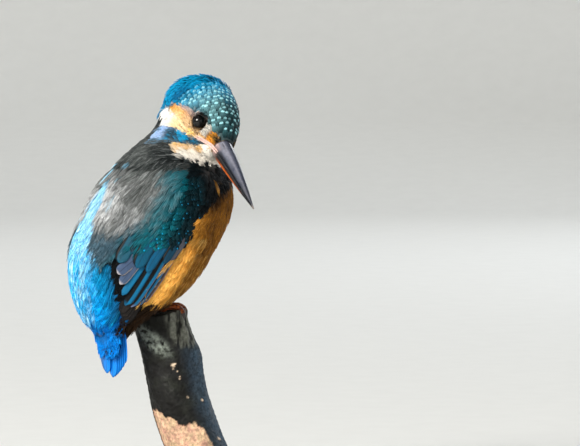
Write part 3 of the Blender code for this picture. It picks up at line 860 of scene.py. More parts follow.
    fill("cheek", cheek, between(cheek, WHITE, 0.5), WHITE, glint=0.2, edge=0.4)
    malar = between(between(TEAL_BLACK, SLATE, 0.5), NAPE, ease(0.14, 0.24, patch) * ease(19, 16, away))
    malar = between(malar, VIOLET, ease(15, 19, away) * ease(-0.4, 0.1, patch))
    malar_fringe = between(malar, SPOT_BLUE, 0.3)
    fill("malar", between(malar, SMOKE, ease(-44, -50, fan)), malar_fringe, AZURE, 0.3, edge=0.4)
    throat = between(BUFF, between(CREAM, WHITE, 0.7), ease(-58, -76, fan + 14 * patch))
    fill("throat", throat, WHITE, WHITE, glint=0.1, edge=0.4)
    lore = between(between(INK, UMBER, 0.4), WHITE, ease(6.4, 7.2, h[:, 0]) * ease(10.3, 9.5, h[:, 0]) * 0.8)
    lore = between(lore, ORANGE, ease(-0.2, 0.1, patch) * ease(9.8, 10.8, h[:, 0]) * ease(1, -1, h[:, 1]))
    fill("lore", lore, between(lore, ORANGE_PALE, 0.4), ORANGE_PALE, glint=0.3, edge=0.4)
    fill("gape", between(ORANGE_PALE, PINK_GREY, ease(3, 11, h[:, 0])), CREAM, CREAM, glint=0.3, edge=0.5)
    return main, fringe, mark, traits


# %% An unwrap of the skin
def unwrap(p):
    """A place on a flat map for each point: the trunk and neck rolled out round the body's upright
    axis, and the head rolled out round the bill's axis in a strip of its own above them."""
    middle, reach, half = torso_at(p[:, 2])
    round_trunk = np.arctan2(p[:, 1] / half, -(p[:, 0] - middle) / reach) / math.tau + 0.5
    h = perch_to_head(p)
    round_head = np.arctan2(h[:, 1], h[:, 2]) / math.tau + 0.5
    high = np.linalg.norm(h - np.array((-2.0, 0, 0)), axis=1) < 19
    u = np.where(high, round_head, round_trunk)
    v = np.where(high, 0.70 + 0.28 * (h[:, 0] + 24) / 44, 0.02 + 0.64 * (p[:, 2] + 12) / 100)
    return np.column_stack((np.clip(u, 0.002, 0.998), np.clip(v, 0.002, 0.998), np.zeros(len(p))))


# %% Write the plan on the skin
HEAD_AHEAD, BODY_AHEAD = 1.6, 4.0       # mm from a root to the middle of what its feather shows


def plan(mesh, p, normals, on_head, on_neck):
    """Stores lie, colours and map place on a mesh of skin or of feather roots. A feather shows past
    its root, so its tract and colours are those of the place that its tip will cover. No feather
    grows by the eye, or on the end of the trunk that faces down behind the tail."""
    lie = lie_at(p, normals, on_head | on_neck)
    ahead = np.where(on_head | on_neck, HEAD_AHEAD, BODY_AHEAD)[:, None]
    shown = p + lie * ahead
    tract = tracts_at(shown, on_head, on_neck)
    tract[on_head & by_the_eye(p + lie * 1.0)] = -1
    main, fringe, mark, traits = paint(shown, tract)
    tract[(tract == TRACT["tail_root"]) & (normals[:, 2] < -0.6)] = -1
    put(mesh, "tract", tract, "INT")
    put(mesh, "out", normals)
    put(mesh, "aim", lie)
    for name, values in (("main", main), ("fringe", fringe), ("mark", mark), ("traits", traits)):
        put(mesh, name, values)
    put(mesh, "map_place", unwrap(p))
    return tract


head_index, neck_index = FLESH.index("head"), FLESH.index("neck")
skin_tract = plan(
    skin_mesh, to_perch(vertex_places(skin_mesh)), vertex_normals(skin_mesh), owner == head_index,
    owner == neck_index,
)
for name, number in TRACT.items():
    print(f"{name}: {int((skin_tract == number).sum())} skin points")


# %% [markdown]
# The skin itself shows only in the partings, so it is matt and carries the coat's colours from the same
# stored values, made a little darker than the coat as painted shade of the partings. Feathers read those
# values too, root by root.

# %% Finish of the skin
def skin_finish():
    s = Shader("skin", 0.75)
    # Painted shade of the partings: the coat's colour darkened towards brown.
    colour = s.blend(0.55, s.stored("main"), tone(40, 32, 30))
    return s.finish(colour, s.cells(s.place(), 1400.0), 0.4, 0.0001)


skin_mesh.name = "skin"
skin = new_object("skin", skin_mesh)
put_map(skin_mesh, unwrap(to_perch(vertex_places(skin_mesh)))[:, :2])
keep(skin, FLESH, skin_finish())

# %% [markdown]
# Feathers also need something to lie on where they run past the skin, over the root of the tail. A
# hidden bed, the skin joined with the tail's solid, serves for that, and is deleted at the end.

# %% The bed
bed_shell = bmesh.new()
bed_shell.from_mesh(skin_mesh)
bed_shell.from_mesh(mesh_from(merged_copy("tail"), "tail_part"))
bed_tree = BVHTree.FromBMesh(bed_shell)
bed = new_object("bed", mesh_from(bed_shell, "bed"))
bed.hide_render = True
print("bed:", len(bed.data.polygons), "faces")

# %% [markdown]
# ## Two shapes of small feather
# A contour feather shows only its tip. Firm ones, on crown and wing, have a rounded tip whose barbs
# part a little. Loose ones, on breast and back, fall apart into a few fine silky locks. Each is
# modelled once, one unit long and one wide, as closed blades with a raised middle, and is sized
# where it grows.

# %% Blades
BLADE_SIDES = (-1.0, 0.0, 1.0)          # the edges of a blade and its raised middle
LOCKS = (-1.0, -0.5, 0.0, 0.5, 1.0)     # where the blades of a plume lie across it


class Plume:
    """One small feather, gathered blade by blade. Steps are shares of a blade's length."""

    def __init__(self, steps):
        self.steps = steps
        self.points, self.faces, self.leaf, self.rise = [], [], [], []

    def point(self, across, along, luck, rise):
        self.points.append((across, along, 0.0))
        self.leaf.append((across, along, luck))
        self.rise.append(rise)

    def blade(self, length, across, half, luck, thick):
        """Adds one closed blade. across and half give its middle line and half width at each step."""
        start, columns = len(self.points), len(BLADE_SIDES)
        last = start + (len(self.steps) - 1) * columns
        for step, x, w in zip(self.steps, across, half):
            for c in BLADE_SIDES:
                self.point(x + c * w, step * length, luck, thick * (1 - 0.9 * abs(c) ** 1.5))
        self.point(across[-1] + (across[-1] - across[-2]) * 0.4, length, luck, 0.0)
        tip = len(self.points) - 1
        for a in range(start, last, columns):
            self.faces += band(a, a + columns, columns)
        self.faces.append(tuple(start + k for k in reversed(range(columns))))
        self.faces += [(last + k, last + (k + 1) % columns, tip) for k in range(columns)]

    def made(self, name):
        mesh = bpy.data.meshes.new(name)
        mesh.from_pydata(self.points, [], self.faces)
        put(mesh, "leaf", self.leaf)
        put(mesh, "rise", self.rise, "FLOAT")
        thing = new_object(name, mesh)
        thing.hide_render = True
        return thing


def silky_plume(name, seed):
    """Locks side by side that fan a little and end at different lengths."""
    chance = np.random.default_rng(seed)
    plume = Plume((0.0, 0.3, 0.62, 0.86))
    for side in LOCKS:
        length = 1 - 0.24 * side ** 2 - chance.uniform(0, 0.12)
        sway = chance.uniform(-0.06, 0.06)
        across = [side * (0.26 + 0.2 * s) + sway * s * s for s in plume.steps]
        width = chance.uniform(0.6, 0.95) / len(LOCKS)
        half = [width * w for w in (0.55, 0.9, 0.8, 0.36)]
        plume.blade(length, across, half, chance.uniform(0, 1), 1.0 - 0.3 * abs(side))
    return plume.made(name)


def fringed_plume(name, seed):
    """A rounded tip whose barbs part a little at its edge."""
    chance = np.random.default_rng(seed)
    plume = Plume((0.0, 0.3, 0.62, 0.88))
    for side in LOCKS:
        length = math.sqrt(1 - 0.55 * side ** 2) - chance.uniform(0, 0.05)
        across = [side * (0.24 + 0.14 * math.sin(math.pi * s * 0.75)) for s in plume.steps]
        half = [1.25 / len(LOCKS) * w for w in (0.4, 0.62, 0.66, 0.5)]
        plume.blade(length, across, half, 0.5 + 0.1 * side, 1.0 - 0.55 * abs(side))
    return plume.made(name)


def stock(name, plumes):
    """A hidden collection of plumes for the tree to choose from."""
    group = bpy.data.collections.new(name)
    scene.collection.children.link(group)
    for made in plumes:
        scene.collection.objects.unlink(made)
        group.objects.link(made)
    return group


silks = stock("silky_plumes", [silky_plume(f"silky_{k}", SEED + k) for k in range(3)])
fringes = stock("fringed_plumes", [fringed_plume(f"fringed_{k}", SEED + 10 + k) for k in range(3)])


# %% [markdown]
# ## How a tract grows
# One Geometry Nodes tree serves every tract. It scatters roots over the tract at a least distance, or
# takes them ready placed, stands a plume on each with its length along the lie, makes the copies real,
# and then lays every point down on the bed: the point moves to the nearest place on the bed and out
# again by its own height. A feather's height grows from root to tip, so each covers the next one's root.

# %% The plumage tree
FEATHER_PATCH = 0.003                   # size of a feather's patch on the map OFBake
LIFT = 0.0012                           # m above itself from which a point looks for the bed


class Tree(Wiring):
    """A group of geometry nodes whose inputs are known by name."""

    def __init__(self, name):
        self.tree = bpy.data.node_groups.new(name, "GeometryNodeTree")
        self.names = {}
        self.tree.interface.new_socket("Geometry", in_out="OUTPUT", socket_type="NodeSocketGeometry")
        self.input("Geometry", "Geometry")

    def input(self, name, kind, value=None):
        socket = self.tree.interface.new_socket(name, in_out="INPUT", socket_type="NodeSocket" + kind)
        if value is not None:
            socket.default_value = value
        self.names[name] = socket.identifier

    def named(self, name, kind="FLOAT_VECTOR"):
        return self.add("GeometryNodeInputNamedAttribute", {"data_type": kind}, Name=name).outputs[0]

    def vector_maths(self, operation, a, b=(0, 0, 0), scale=None):
        extra = {} if scale is None else {"Scale": scale}
        return self.add("ShaderNodeVectorMath", {"operation": operation}, _0=a, _1=b, **extra).outputs[0]

    def chance(self, low, high, seed):
        settings = {"data_type": "FLOAT"}
        return self.add("FunctionNodeRandomValue", settings, _2=low, _3=high, Seed=seed).outputs[1]

    def finish(self, geometry):
        self.plug(self.tree.nodes.new("NodeGroupOutput"), 0, geometry)


def plumage_tree():
    t = Tree("plumage")
    for name, kind, value in (
        ("Scatter", "Bool", False), ("Tract", "Int", 0), ("Spacing", "Float", 0.0015),
        ("Length", "Float", 0.008), ("Width", "Float", 0.0025), ("Thickness", "Float", 0.0002),
        ("Root Height", "Float", 0.0001), ("Tip Height", "Float", 0.001), ("Unevenness", "Float", 0.15),
        ("Turn", "Float", 0.1), ("Seed", "Int", SEED), ("Plumes", "Collection", None),
        ("Bed", "Object", None), ("Finish", "Material", None),
    ):
        t.input(name, kind, value)
    start = t.add("NodeGroupInput").outputs
    least = start["Spacing"]
    most = t.math("DIVIDE", 2.6, t.times(least, least))
    chosen = t.add(
        "FunctionNodeCompare", {"data_type": "INT", "operation": "EQUAL"},
        _2=t.named("tract", "INT"), _3=start["Tract"],
    ).outputs[0]
    scattered = t.add(
        "GeometryNodeDistributePointsOnFaces", {"distribute_method": "POISSON"},
        Mesh=start["Geometry"], Selection=chosen, Distance_Min=least, Density_Max=most, Seed=start["Seed"],
    ).outputs["Points"]
    settings = {"input_type": "GEOMETRY"}
    roots = t.add("GeometryNodeSwitch", settings, _0=start["Scatter"], _1=start["Geometry"], _2=scattered)
    roots = t.add(
        "GeometryNodeStoreNamedAttribute", {"data_type": "FLOAT", "domain": "POINT"},
        Geometry=roots.outputs[0], Name="luck", Value=t.chance(0.0, 1.0, 3),
    ).outputs[0]
    turned = t.add(
        "FunctionNodeAxesToRotation", {"primary_axis": "Z", "secondary_axis": "Y"},
        _0=t.named("out"), _1=t.named("aim"),
    ).outputs[0]
    wander = t.combine(0.0, 0.0, t.times(t.chance(-1.0, 1.0, 5), start["Turn"]))
    swing = t.add("FunctionNodeEulerToRotation", Euler=wander).outputs[0]
    turned = t.add(
        "FunctionNodeRotateRotation", {"rotation_space": "LOCAL"}, Rotation=turned, Rotate_By=swing,
    ).outputs[0]
    vary = t.math("ADD", 1.0, t.times(t.chance(-1.0, 1.0, 11), start["Unevenness"]))
    size = t.combine(t.times(start["Width"], vary), t.times(start["Length"], vary), start["Width"])
    stock = t.add(
        "GeometryNodeCollectionInfo", {"transform_space": "ORIGINAL"},
        Collection=start["Plumes"], Separate_Children=True, Reset_Children=True,
    ).outputs[0]
    pick = t.add("FunctionNodeRandomValue", {"data_type": "INT"}, _4=0, _5=2, Seed=17).outputs[2]
    grown_plumes = t.add(
        "GeometryNodeInstanceOnPoints",
        Points=roots, Instance=stock, Pick_Instance=True, Instance_Index=pick, Rotation=turned, Scale=size,
    ).outputs[0]
    real = t.add("GeometryNodeRealizeInstances", Geometry=grown_plumes).outputs[0]
    settings = {"transform_space": "ORIGINAL"}
    bed_form = t.add("GeometryNodeObjectInfo", settings, Object=start["Bed"]).outputs["Geometry"]
    here = t.add("GeometryNodeInputPosition").outputs[0]
    leaf = t.named("leaf")
    lifted = t.vector_maths("ADD", here, t.vector_maths("SCALE", t.named("out"), scale=LIFT))
    foot, away = (
        t.add(
            "GeometryNodeSampleNearestSurface", {"data_type": "FLOAT_VECTOR"},
            Mesh=bed_form, Value=value, Sample_Position=lifted,
        ).outputs[0] for value in (here, t.add("GeometryNodeInputNormal").outputs[0])
    )
    climb = t.math("SUBTRACT", start["Tip Height"], start["Root Height"])
    height = t.math("ADD", start["Root Height"], t.times(climb, t.parts(leaf)[1]))
    height = t.times(height, t.math("ADD", 0.85, t.times(t.named("luck", "FLOAT"), 0.3)))
    height = t.math("ADD", height, t.times(t.named("rise", "FLOAT"), start["Thickness"]))
    laid = t.vector_maths("SCALE", t.vector_maths("NORMALIZE", away), scale=height)
    laid = t.vector_maths("ADD", foot, laid)
    real = t.add("GeometryNodeSetPosition", Geometry=real, Position=laid).outputs[0]
    patch = t.vector_maths("SUBTRACT", leaf, (0.0, 0.5, 0.0))
    patch = t.vector_maths("MULTIPLY", patch, (FEATHER_PATCH, FEATHER_PATCH, 0.0))
    real = t.add(
        "GeometryNodeStoreNamedAttribute", {"data_type": "FLOAT2", "domain": "CORNER"},
        Geometry=real, Name="OFBake", Value=t.vector_maths("ADD", t.named("map_place"), patch),
    ).outputs[0]
    real = t.add("GeometryNodeSetShadeSmooth", Geometry=real).outputs[0]
    t.finish(t.add("GeometryNodeSetMaterial", Geometry=real, Material=start["Finish"]).outputs[0])
    return t


plumage = plumage_tree()
print("plumage tree:", len(plumage.tree.nodes), "nodes")


# %% Growing one piece of coat
SPENT = ("tract", "out", "aim", "map_place", "rise")
IN_MILLIMETRES = ("Spacing", "Length", "Width", "Thickness", "Root Height", "Tip Height")


def grow(name, source, plumes, finish, slot, scatter=True, **sizes):
    """A finished piece of coat from a mesh of skin or of roots. Sizes are in millimetres."""
    soil = new_object(name, source)
    modifier = soil.modifiers.new("plumage", "NODES")
    modifier.node_group = plumage.tree
    settings = {"Scatter": scatter, "Plumes": plumes, "Bed": bed, "Finish": finish, **sizes}
    for key, value in settings.items():
        key = key.replace("_", " ")
        modifier[plumage.names[key]] = value * MM if key in IN_MILLIMETRES else value
    coat = applied(soil)
    bpy.data.objects.remove(soil)
    for spent in SPENT:
        if spent in coat.attributes:
            coat.attributes.remove(coat.attributes[spent])
    coat.name = name
    keep(new_object(name, coat))


# %% [markdown]
# ## The finish of a feather
# The blue of a kingfisher is a matter of structure: fine barbs scatter the light, and each lock
# catches it differently. The finish takes the root's three colours, darkens towards the hidden root,
# turns to the fringe's colour towards the tip, sets a mark near the tip, and lets some locks turn to
# the mark's colour as they catch the light. Fine slanting barbs break up the shine.

# %% Plumage finishes
def plumage_finish(name, gloss, mark_shape, contrast, root_dark=0.6, rare=0.1):
    """mark_shape is the mark's place along the feather, its half length and its half width. contrast
    is how much locks differ. Marks grow fainter towards a luck of rare, below which there is none."""
    s = Shader(name, 0.58, Specular_IOR_Level=gloss)
    main, fringe, mark = (s.stored(key) for key in ("main", "fringe", "mark"))
    glint, spot, edge = s.parts(s.stored("traits", "Vector"))
    across, along, lock = s.parts(s.stored("leaf", "Vector"))
    luck = s.stored("luck", "Fac")
    own = s.add(
        "ShaderNodeTexWhiteNoise", {"noise_dimensions": "2D"},
        Vector=s.combine(s.times(lock, 31.7), s.times(luck, 57.3), 0.0),
    ).outputs["Value"]
    colour = s.blend(s.ramp(along, 0.75, 0.2), main, s.blend(root_dark, main, (0.0, 0.0, 0.0)))
    colour = s.blend(s.times(s.ramp(along, 0.55, 1.0), edge), colour, fringe)
    # Painted glints: locks with a high value of their own turn to the mark's colour, as if they caught the
    # light.
    lit = s.times(s.ramp(own, 0.62, 0.92), s.ramp(along, 0.15, 0.5))
    colour = s.blend(s.times(glint, lit, 0.85), colour, mark)
    place, half_long, half_wide = mark_shape
    dx = s.math("DIVIDE", across, half_wide)
    dy = s.math("DIVIDE", s.math("SUBTRACT", along, place), half_long)
    ring = s.math("ADD", s.times(dx, dx), s.times(dy, dy))
    colour = s.blend(s.times(s.ramp(ring, 1.4, 0.4), spot, s.ramp(luck, rare, 0.9)), colour, mark)
    shade = s.math("ADD", 1 - contrast, s.times(own, 2 * contrast))
    return s.finish(s.shaded(colour, shade), s.barbs(across, along, 60.0, -34.0)[0], 0.12, 0.00006)


MARK_SHAPE = (0.78, 0.14, 0.3)
silky_finish = plumage_finish("silky_plumage", 0.14, MARK_SHAPE, 0.22)
white_finish = plumage_finish("white_plumage", 0.14, MARK_SHAPE, 0.08, root_dark=0.25)
back_finish = plumage_finish("back_plumage", 0.12, MARK_SHAPE, 0.22, root_dark=0.5)
flank_finish = plumage_finish("flank_plumage", 0.14, MARK_SHAPE, 0.12, root_dark=0.3)
crown_finish = plumage_finish("crown_plumage", 0.14, (0.82, 0.11, 0.36), 0.16, root_dark=0.6, rare=-0.5)
covert_finish = plumage_finish("covert_plumage", 0.1, (0.86, 0.055, 0.10), 0.16, root_dark=0.4, rare=0.6)

# %% [markdown]
# ## The loose plumage
# Breast, belly, back and shoulders are scattered at random within their tracts, as their locks hide
# any order. The smallest feathers are on the face.

# %% Grow the scattered tracts
BODY_TRACTS = {                         # spacing, length, width, height of the tips in mm, slot, finish
    "breast": (1.1, 7.0, 2.4, 0.95, "orange_plumage", silky_finish),
    "belly": (1.1, 9.5, 2.6, 1.6, "orange_plumage", silky_finish),
    "flank": (0.85, 9.5, 2.2, 1.5, "orange_plumage", flank_finish),
    "vent": (1.2, 8.0, 2.2, 2.6, "orange_plumage", silky_finish),
    "back": (1.05, 9.5, 2.3, 1.2, "blue_plumage", back_finish),
    "rump": (1.15, 12.5, 2.4, 1.4, "blue_plumage", back_finish),
    "mantle": (1.05, 6.5, 2.2, 1.0, "teal_plumage", back_finish),
    "scapulars": (1.1, 11.0, 2.5, 1.9, "teal_plumage", back_finish),
    "breast_side": (1.2, 5.0, 2.4, 0.9, "teal_plumage", silky_finish),
    "hollow": (1.6, 5.0, 2.6, 0.4, "teal_plumage", silky_finish),
    "thigh": (1.1, 5.0, 1.8, 1.2, "orange_plumage", silky_finish),
    "tail_root": (1.0, 7.0, 2.5, 1.0, "blue_plumage", back_finish),
}
FACE_TRACTS = {
    "nape": (0.85, 3.8, 1.6, 1.5, "blue_plumage", silky_finish),
    "ear": (0.68, 3.0, 1.2, 0.65, "orange_plumage", silky_finish),
    "cheek": (0.72, 3.4, 1.3, 1.1, "orange_plumage", white_finish),
    "malar": (0.8, 3.2, 1.4, 0.7, "blue_plumage", silky_finish),
    "throat": (0.7, 3.2, 1.4, 0.9, "orange_plumage", white_finish),
    "lore": (0.5, 1.7, 0.7, 0.35, "orange_plumage", silky_finish),
    "gape": (0.5, 2.0, 0.7, 0.35, "orange_plumage", silky_finish),
}
for name, (spacing, length, width, tip, slot, finish) in {**BODY_TRACTS, **FACE_TRACTS}.items():
    grow(
        name + "_plumage", skin_mesh.copy(), silks, finish, slot, Tract=TRACT[name], Spacing=spacing,
        Length=length, Width=width, Thickness=0.13 if length > 4 else 0.1, Turn=0.16, Tip_Height=tip,
        Root_Height=0.1,
    )

# %% [markdown]
# ## The firm plumage
# Crown and wing coverts show their order: rows in which each feather sits between two of the row
# before it. Roots are placed row by row, by shooting rays at the bed, and the same tree grows them.


# %% Rows of roots
def struck(rays):
    """Place and normal where rays first meet the bed. Each is a start and a point to aim at."""
    hits = []
    for start, aim_at in rays:
        a, b = Vector(to_row(start)), Vector(to_row(aim_at))
        place, normal = bed_tree.ray_cast(a, (b - a).normalized())[:2]
        if place is not None:
            hits.append((to_perch(place), np.array(normal)))
    return hits


def spread(ring, spacing, offset):
    """Points along a ring of hits at even distances."""
    places = np.array([hit[0] for hit in ring])
    normals = np.array([hit[1] for hit in ring])
    run = distance_along(places)
    at = np.arange(offset * spacing, run[-1], spacing)
    place = np.column_stack([np.interp(at, run, places[:, k]) for k in range(3)])
    normal = unit(np.column_stack([np.interp(at, run, normals[:, k]) for k in range(3)]))
    return place, normal


def crown_rows(step, spacing):
    """Rows over the crown from cheek to cheek, one behind another."""
    rows = []
    for row, x in enumerate(np.arange(16.0, -13.5, -step)):
        ring = struck(
            (head_to_perch((x, 40 * math.sin(turn), 40 * math.cos(turn))), head_to_perch((x, 0.0, 0.0)))
            for turn in np.radians(np.arange(-112, 113, 4))
        )
        rows.append(spread(ring, spacing, 0.5 * (row % 2)))
    return rows


def wing_rows(side, step, spacing):
    """Rows over the folded wing, the highest on the shoulder."""
    rows = []
    for row, z in enumerate(np.arange(56.0, 29.5, -step)):
        upper, lower = follow(SILK_EDGE, z) - 8, follow(WING_EDGES, z, 2)
        middle, reach, half = torso_at(z)
        axis = np.array((middle, 0.0, z))
        ring = struck(
            (axis + np.array((-math.cos(turn) * reach, side * math.sin(turn) * half, 0.0)) * 1.8, axis)
            for turn in np.radians(np.linspace(upper, lower + 3, 40))
        )
        rows.append(spread(ring, spacing, 0.5 * (row % 2)))
    return rows


skin_points = KDTree(len(skin_mesh.vertices))
for number, vertex in enumerate(skin_mesh.vertices):
    skin_points.insert(vertex.co, number)
skin_points.balance()


def rooted(name, rows, wanted, on_head, jitter=0.12):
    """A mesh of loose points, one for each root, with the coat's plan stored on it."""
    chance = np.random.default_rng(SEED)
    places = np.concatenate([r[0] for r in rows])
    normals = np.concatenate([r[1] for r in rows])
    places = places + chance.normal(0, jitter, places.shape)
    nearest = [skin_points.find(Vector(q))[1] for q in to_row(places)]
    high = np.full(len(places), on_head) | (owner[nearest] == neck_index)
    lie = lie_at(places, normals, high)
    shown = tracts_at(places + lie * (HEAD_AHEAD if on_head else BODY_AHEAD), high & on_head, high)
    chosen = shown == TRACT[wanted]
    if on_head:
        chosen &= ~by_the_eye(places + lie * 2.0)
    mesh = mesh_of(name, places[chosen], [])
    plan(mesh, places[chosen], normals[chosen], (high & on_head)[chosen], high[chosen])
    print(f"{name}: {len(mesh.vertices)} roots")
    return mesh


# %% Grow crown and coverts
crown_roots = rooted("crown_roots", crown_rows(1.75, 1.95), "crown", True, jitter=0.2)
grow(
    "crown_plumage", crown_roots, fringes, crown_finish, "teal_plumage", scatter=False, Length=4.4,
    Width=2.9, Thickness=0.14, Turn=0.14, Unevenness=0.14, Tip_Height=0.75, Root_Height=0.05,
)
covert_rows = wing_rows(-1, 1.8, 1.9) + wing_rows(1, 1.8, 1.9)
grow(
    "covert_plumage", rooted("covert_roots", covert_rows, "coverts", False), fringes, covert_finish,
    "teal_plumage", scatter=False, Length=5.6, Width=3.2, Thickness=0.12, Turn=0.16, Unevenness=0.15,
    Tip_Height=1.5, Root_Height=0.1,
)

# %% [markdown]
# ## Flight feathers
# The long feathers of wing and tail are few, so each is laid one by one along a line on the folded wing:
# a closed vane with a rounded tip and a raised shaft, its inner edge tucked under its neighbour.

# %% A long vane
VANE_RINGS = 18
VANE_SIDES = np.linspace(-1, 1, 7)
VANE_THICK = 0.16                       # mm


def tip_shape(u, blunt, root):
    """Half width along a feather as a share of its widest."""
    body = np.minimum(1, root + u * 1.6)
    past = np.clip((u - blunt) / (1 - blunt), 0, 0.985)
    return body * np.sqrt(1 - past ** 2)


class Vanes:
    """Many long feathers gathered in one mesh, with the values that their finish reads."""

    def __init__(self):
        self.points, self.faces, self.map, self.luck = [], [], [], []
        self.values = {key: [] for key in ("leaf", "main", "fringe", "mark", "traits")}

    def add(self, path, out, half, inner, colours, traits, luck, blunt=0.86, root=0.55, tilt=0.16):
        """path and out run from root to tip. inner tells which edge is tucked in and lies lower."""
        along = unit(np.gradient(path, axis=0))
        across = unit(np.cross(along, out))
        u = np.linspace(0, 1, len(path))
        widths = half * tip_shape(u, blunt, root)
        start, count = len(self.points), len(VANE_SIDES) + 2
        place = unwrap(path[:1])[0]
        for k in range(len(path)):
            for c in VANE_SIDES:
                shaft = 0.5 * math.exp(-(c / 0.12) ** 2)
                lift = VANE_THICK * (1 - 0.6 * c * c + shaft) - tilt * c * inner
                self.points.append(path[k] + across[k] * c * widths[k] + out[k] * lift)
            for c in (1.0, -1.0):
                drop = tilt * c * inner + 0.05
                self.points.append(path[k] + across[k] * c * widths[k] * 0.97 - out[k] * drop)
            for c in (*VANE_SIDES, 1.0, -1.0):
                self.values["leaf"].append((c * 0.5 * inner, u[k], luck))
                self.map.append((place[0] + c * FEATHER_PATCH / 2, place[1] + (u[k] - 0.5) * FEATHER_PATCH))
        self.faces += tube_faces(start, count, len(path))
        total = count * len(path)
        for key, value in zip(("main", "fringe", "mark", "traits"), (*colours, traits)):
            self.values[key] += [value] * total
        self.luck += [luck] * total

    def piece(self, name, finish, replaced=()):
        mesh = mesh_of(name, self.points, self.faces)
        for key, values in self.values.items():
            put(mesh, key, values)
        put(mesh, "luck", self.luck, "FLOAT")
        put_map(mesh, self.map)
        face_out(mesh)
        keep(new_object(name, mesh), replaced, finish)


# %% Lines on the folded wing
WING_LEAVES_BODY, WING_RUN = 5.0, 8.0   # below this height the wing runs on straight as it did just above
FAR_WING_SHIFT = 6.0                    # degrees by which the far wing is folded further round


def wing_point(z, angle, side, rise):
    """A place over the folded wing, and the way out from it."""
    held = np.maximum(z, WING_LEAVES_BODY)
    here, higher = torso_at(held), torso_at(held + WING_RUN)
    below = (held - z) / WING_RUN
    middle, reach, half = (a + (a - b) * below for a, b in zip(here, higher))
    turn = np.radians(angle)
    place = np.column_stack((
        middle - (reach + rise) * np.cos(turn), side * (half + rise) * np.sin(turn), z,
    ))
    out = unit(np.column_stack((-np.cos(turn) * half, side * np.sin(turn) * reach, -0.12 * half + 0 * z)))
    return place, out


def wing_line(side, start, end, low, high, bow=0.0):
    """A line over the wing between two places, each a height and an angle from the mid back."""
    u = np.linspace(0, 1, VANE_RINGS)
    z = start[0] + (end[0] - start[0]) * u
    angle = start[1] + (end[1] - start[1]) * u + bow * np.sin(np.pi * u)
    if side > 0:
        angle = angle + FAR_WING_SHIFT
    return wing_point(z, angle, side, low + (high - low) * u)


def flight_finish():
    s = Shader("flight_feathers", 0.5, Specular_IOR_Level=0.22)
    main, fringe, mark = (s.stored(key) for key in ("main", "fringe", "mark"))
    across, along, luck = s.parts(s.stored("leaf", "Vector"))
    shaft_strength, inner_web, edge = s.parts(s.stored("traits", "Vector"))
    hidden = s.ramp(s.math("SUBTRACT", across, inner_web), -0.03, 0.04)
    colour = s.blend(hidden, main, mark)
    rim = s.math("MAXIMUM", s.ramp(across, -0.38, -0.5), s.ramp(along, 0.93, 1.0))
    colour = s.blend(s.times(rim, edge), colour, fringe)
    shaft = s.times(s.ramp(s.math("ABSOLUTE", across), 0.05, 0.015), shaft_strength)
    colour = s.blend(shaft, colour, tone(14, 16, 20))
    barbs, run = s.barbs(across, along, 150.0, -50.0)
    worn = s.grain(s.combine(s.times(run, 0.25), s.times(luck, 40.0), 0.0), 1.0, 2.0)
    return s.finish(s.shaded(colour, s.ramp(worn, 0.3, 0.7, 0.88, 1.08)), barbs, 0.08, 0.00004)


flight = flight_finish()

# %% [markdown]
# On the folded wing the innermost feather lies on top. From below upwards come five brown primaries,
# the blue secondaries with their dark hidden webs, the grey tertials with pale tips, and the greater
# coverts that hide all the roots.

# %% Wings
WING_BLUE, COVERT_BLUE, TERTIAL_GREY = tone(0, 100, 142), tone(0, 76, 104), tone(60, 78, 106)
WING_EDGE_LILAC, TIP_PALE = tone(150, 152, 190), tone(214, 204, 204)
PRIMARY_BROWN, PRIMARY_DARK, OUTER_BROWN = tone(30, 25, 23), tone(7, 7, 9), tone(84, 70, 62)
PRIMARIES = (                           # root and tip, each a height and an angle from the mid back
    ((16, 78), (-3.0, 76)), ((16, 76), (-2.4, 74)), ((16, 74), (-1.4, 71.5)), ((16, 72), (0.0, 68)),
    ((16, 70), (1.6, 64)),
)
SECONDARIES = (                         # root, tip, half width, where the dark web begins, pale edge
    ((30, 91.5), (5.4, 82.0), 1.6, -0.24, True), ((30, 89), (4.4, 77.5), 1.6, -0.20, True),
    ((30, 85.5), (4.2, 72.2), 1.7, -0.12, True), ((30, 78.5), (4.9, 65), 1.8, -0.06, False),
    ((30, 74), (9.0, 58.2), 1.5, 0.40, False),
)
TERTIALS = (((30, 71), (13.4, 54.0), 1.9), ((28, 68), (17.6, 50.3), 2.3))
GREATER = (                             # root, tip, half width, colour
    ((32, 94.5), (22.6, 88.5), 1.4, tone(76, 76, 84)), ((34, 89), (21.4, 84.3), 1.7, tone(4, 56, 80)),
    ((36, 81), (18.2, 72.8), 2.3, tone(0, 82, 118)), ((38, 61), (25.4, 57.0), 2.0, tone(4, 44, 60)),
    ((38, 69), (19.8, 64.4), 2.9, COVERT_BLUE), ((38, 55.5), (22.0, 49.5), 2.9, tone(24, 78, 98)),
)
chance = np.random.default_rng(SEED)
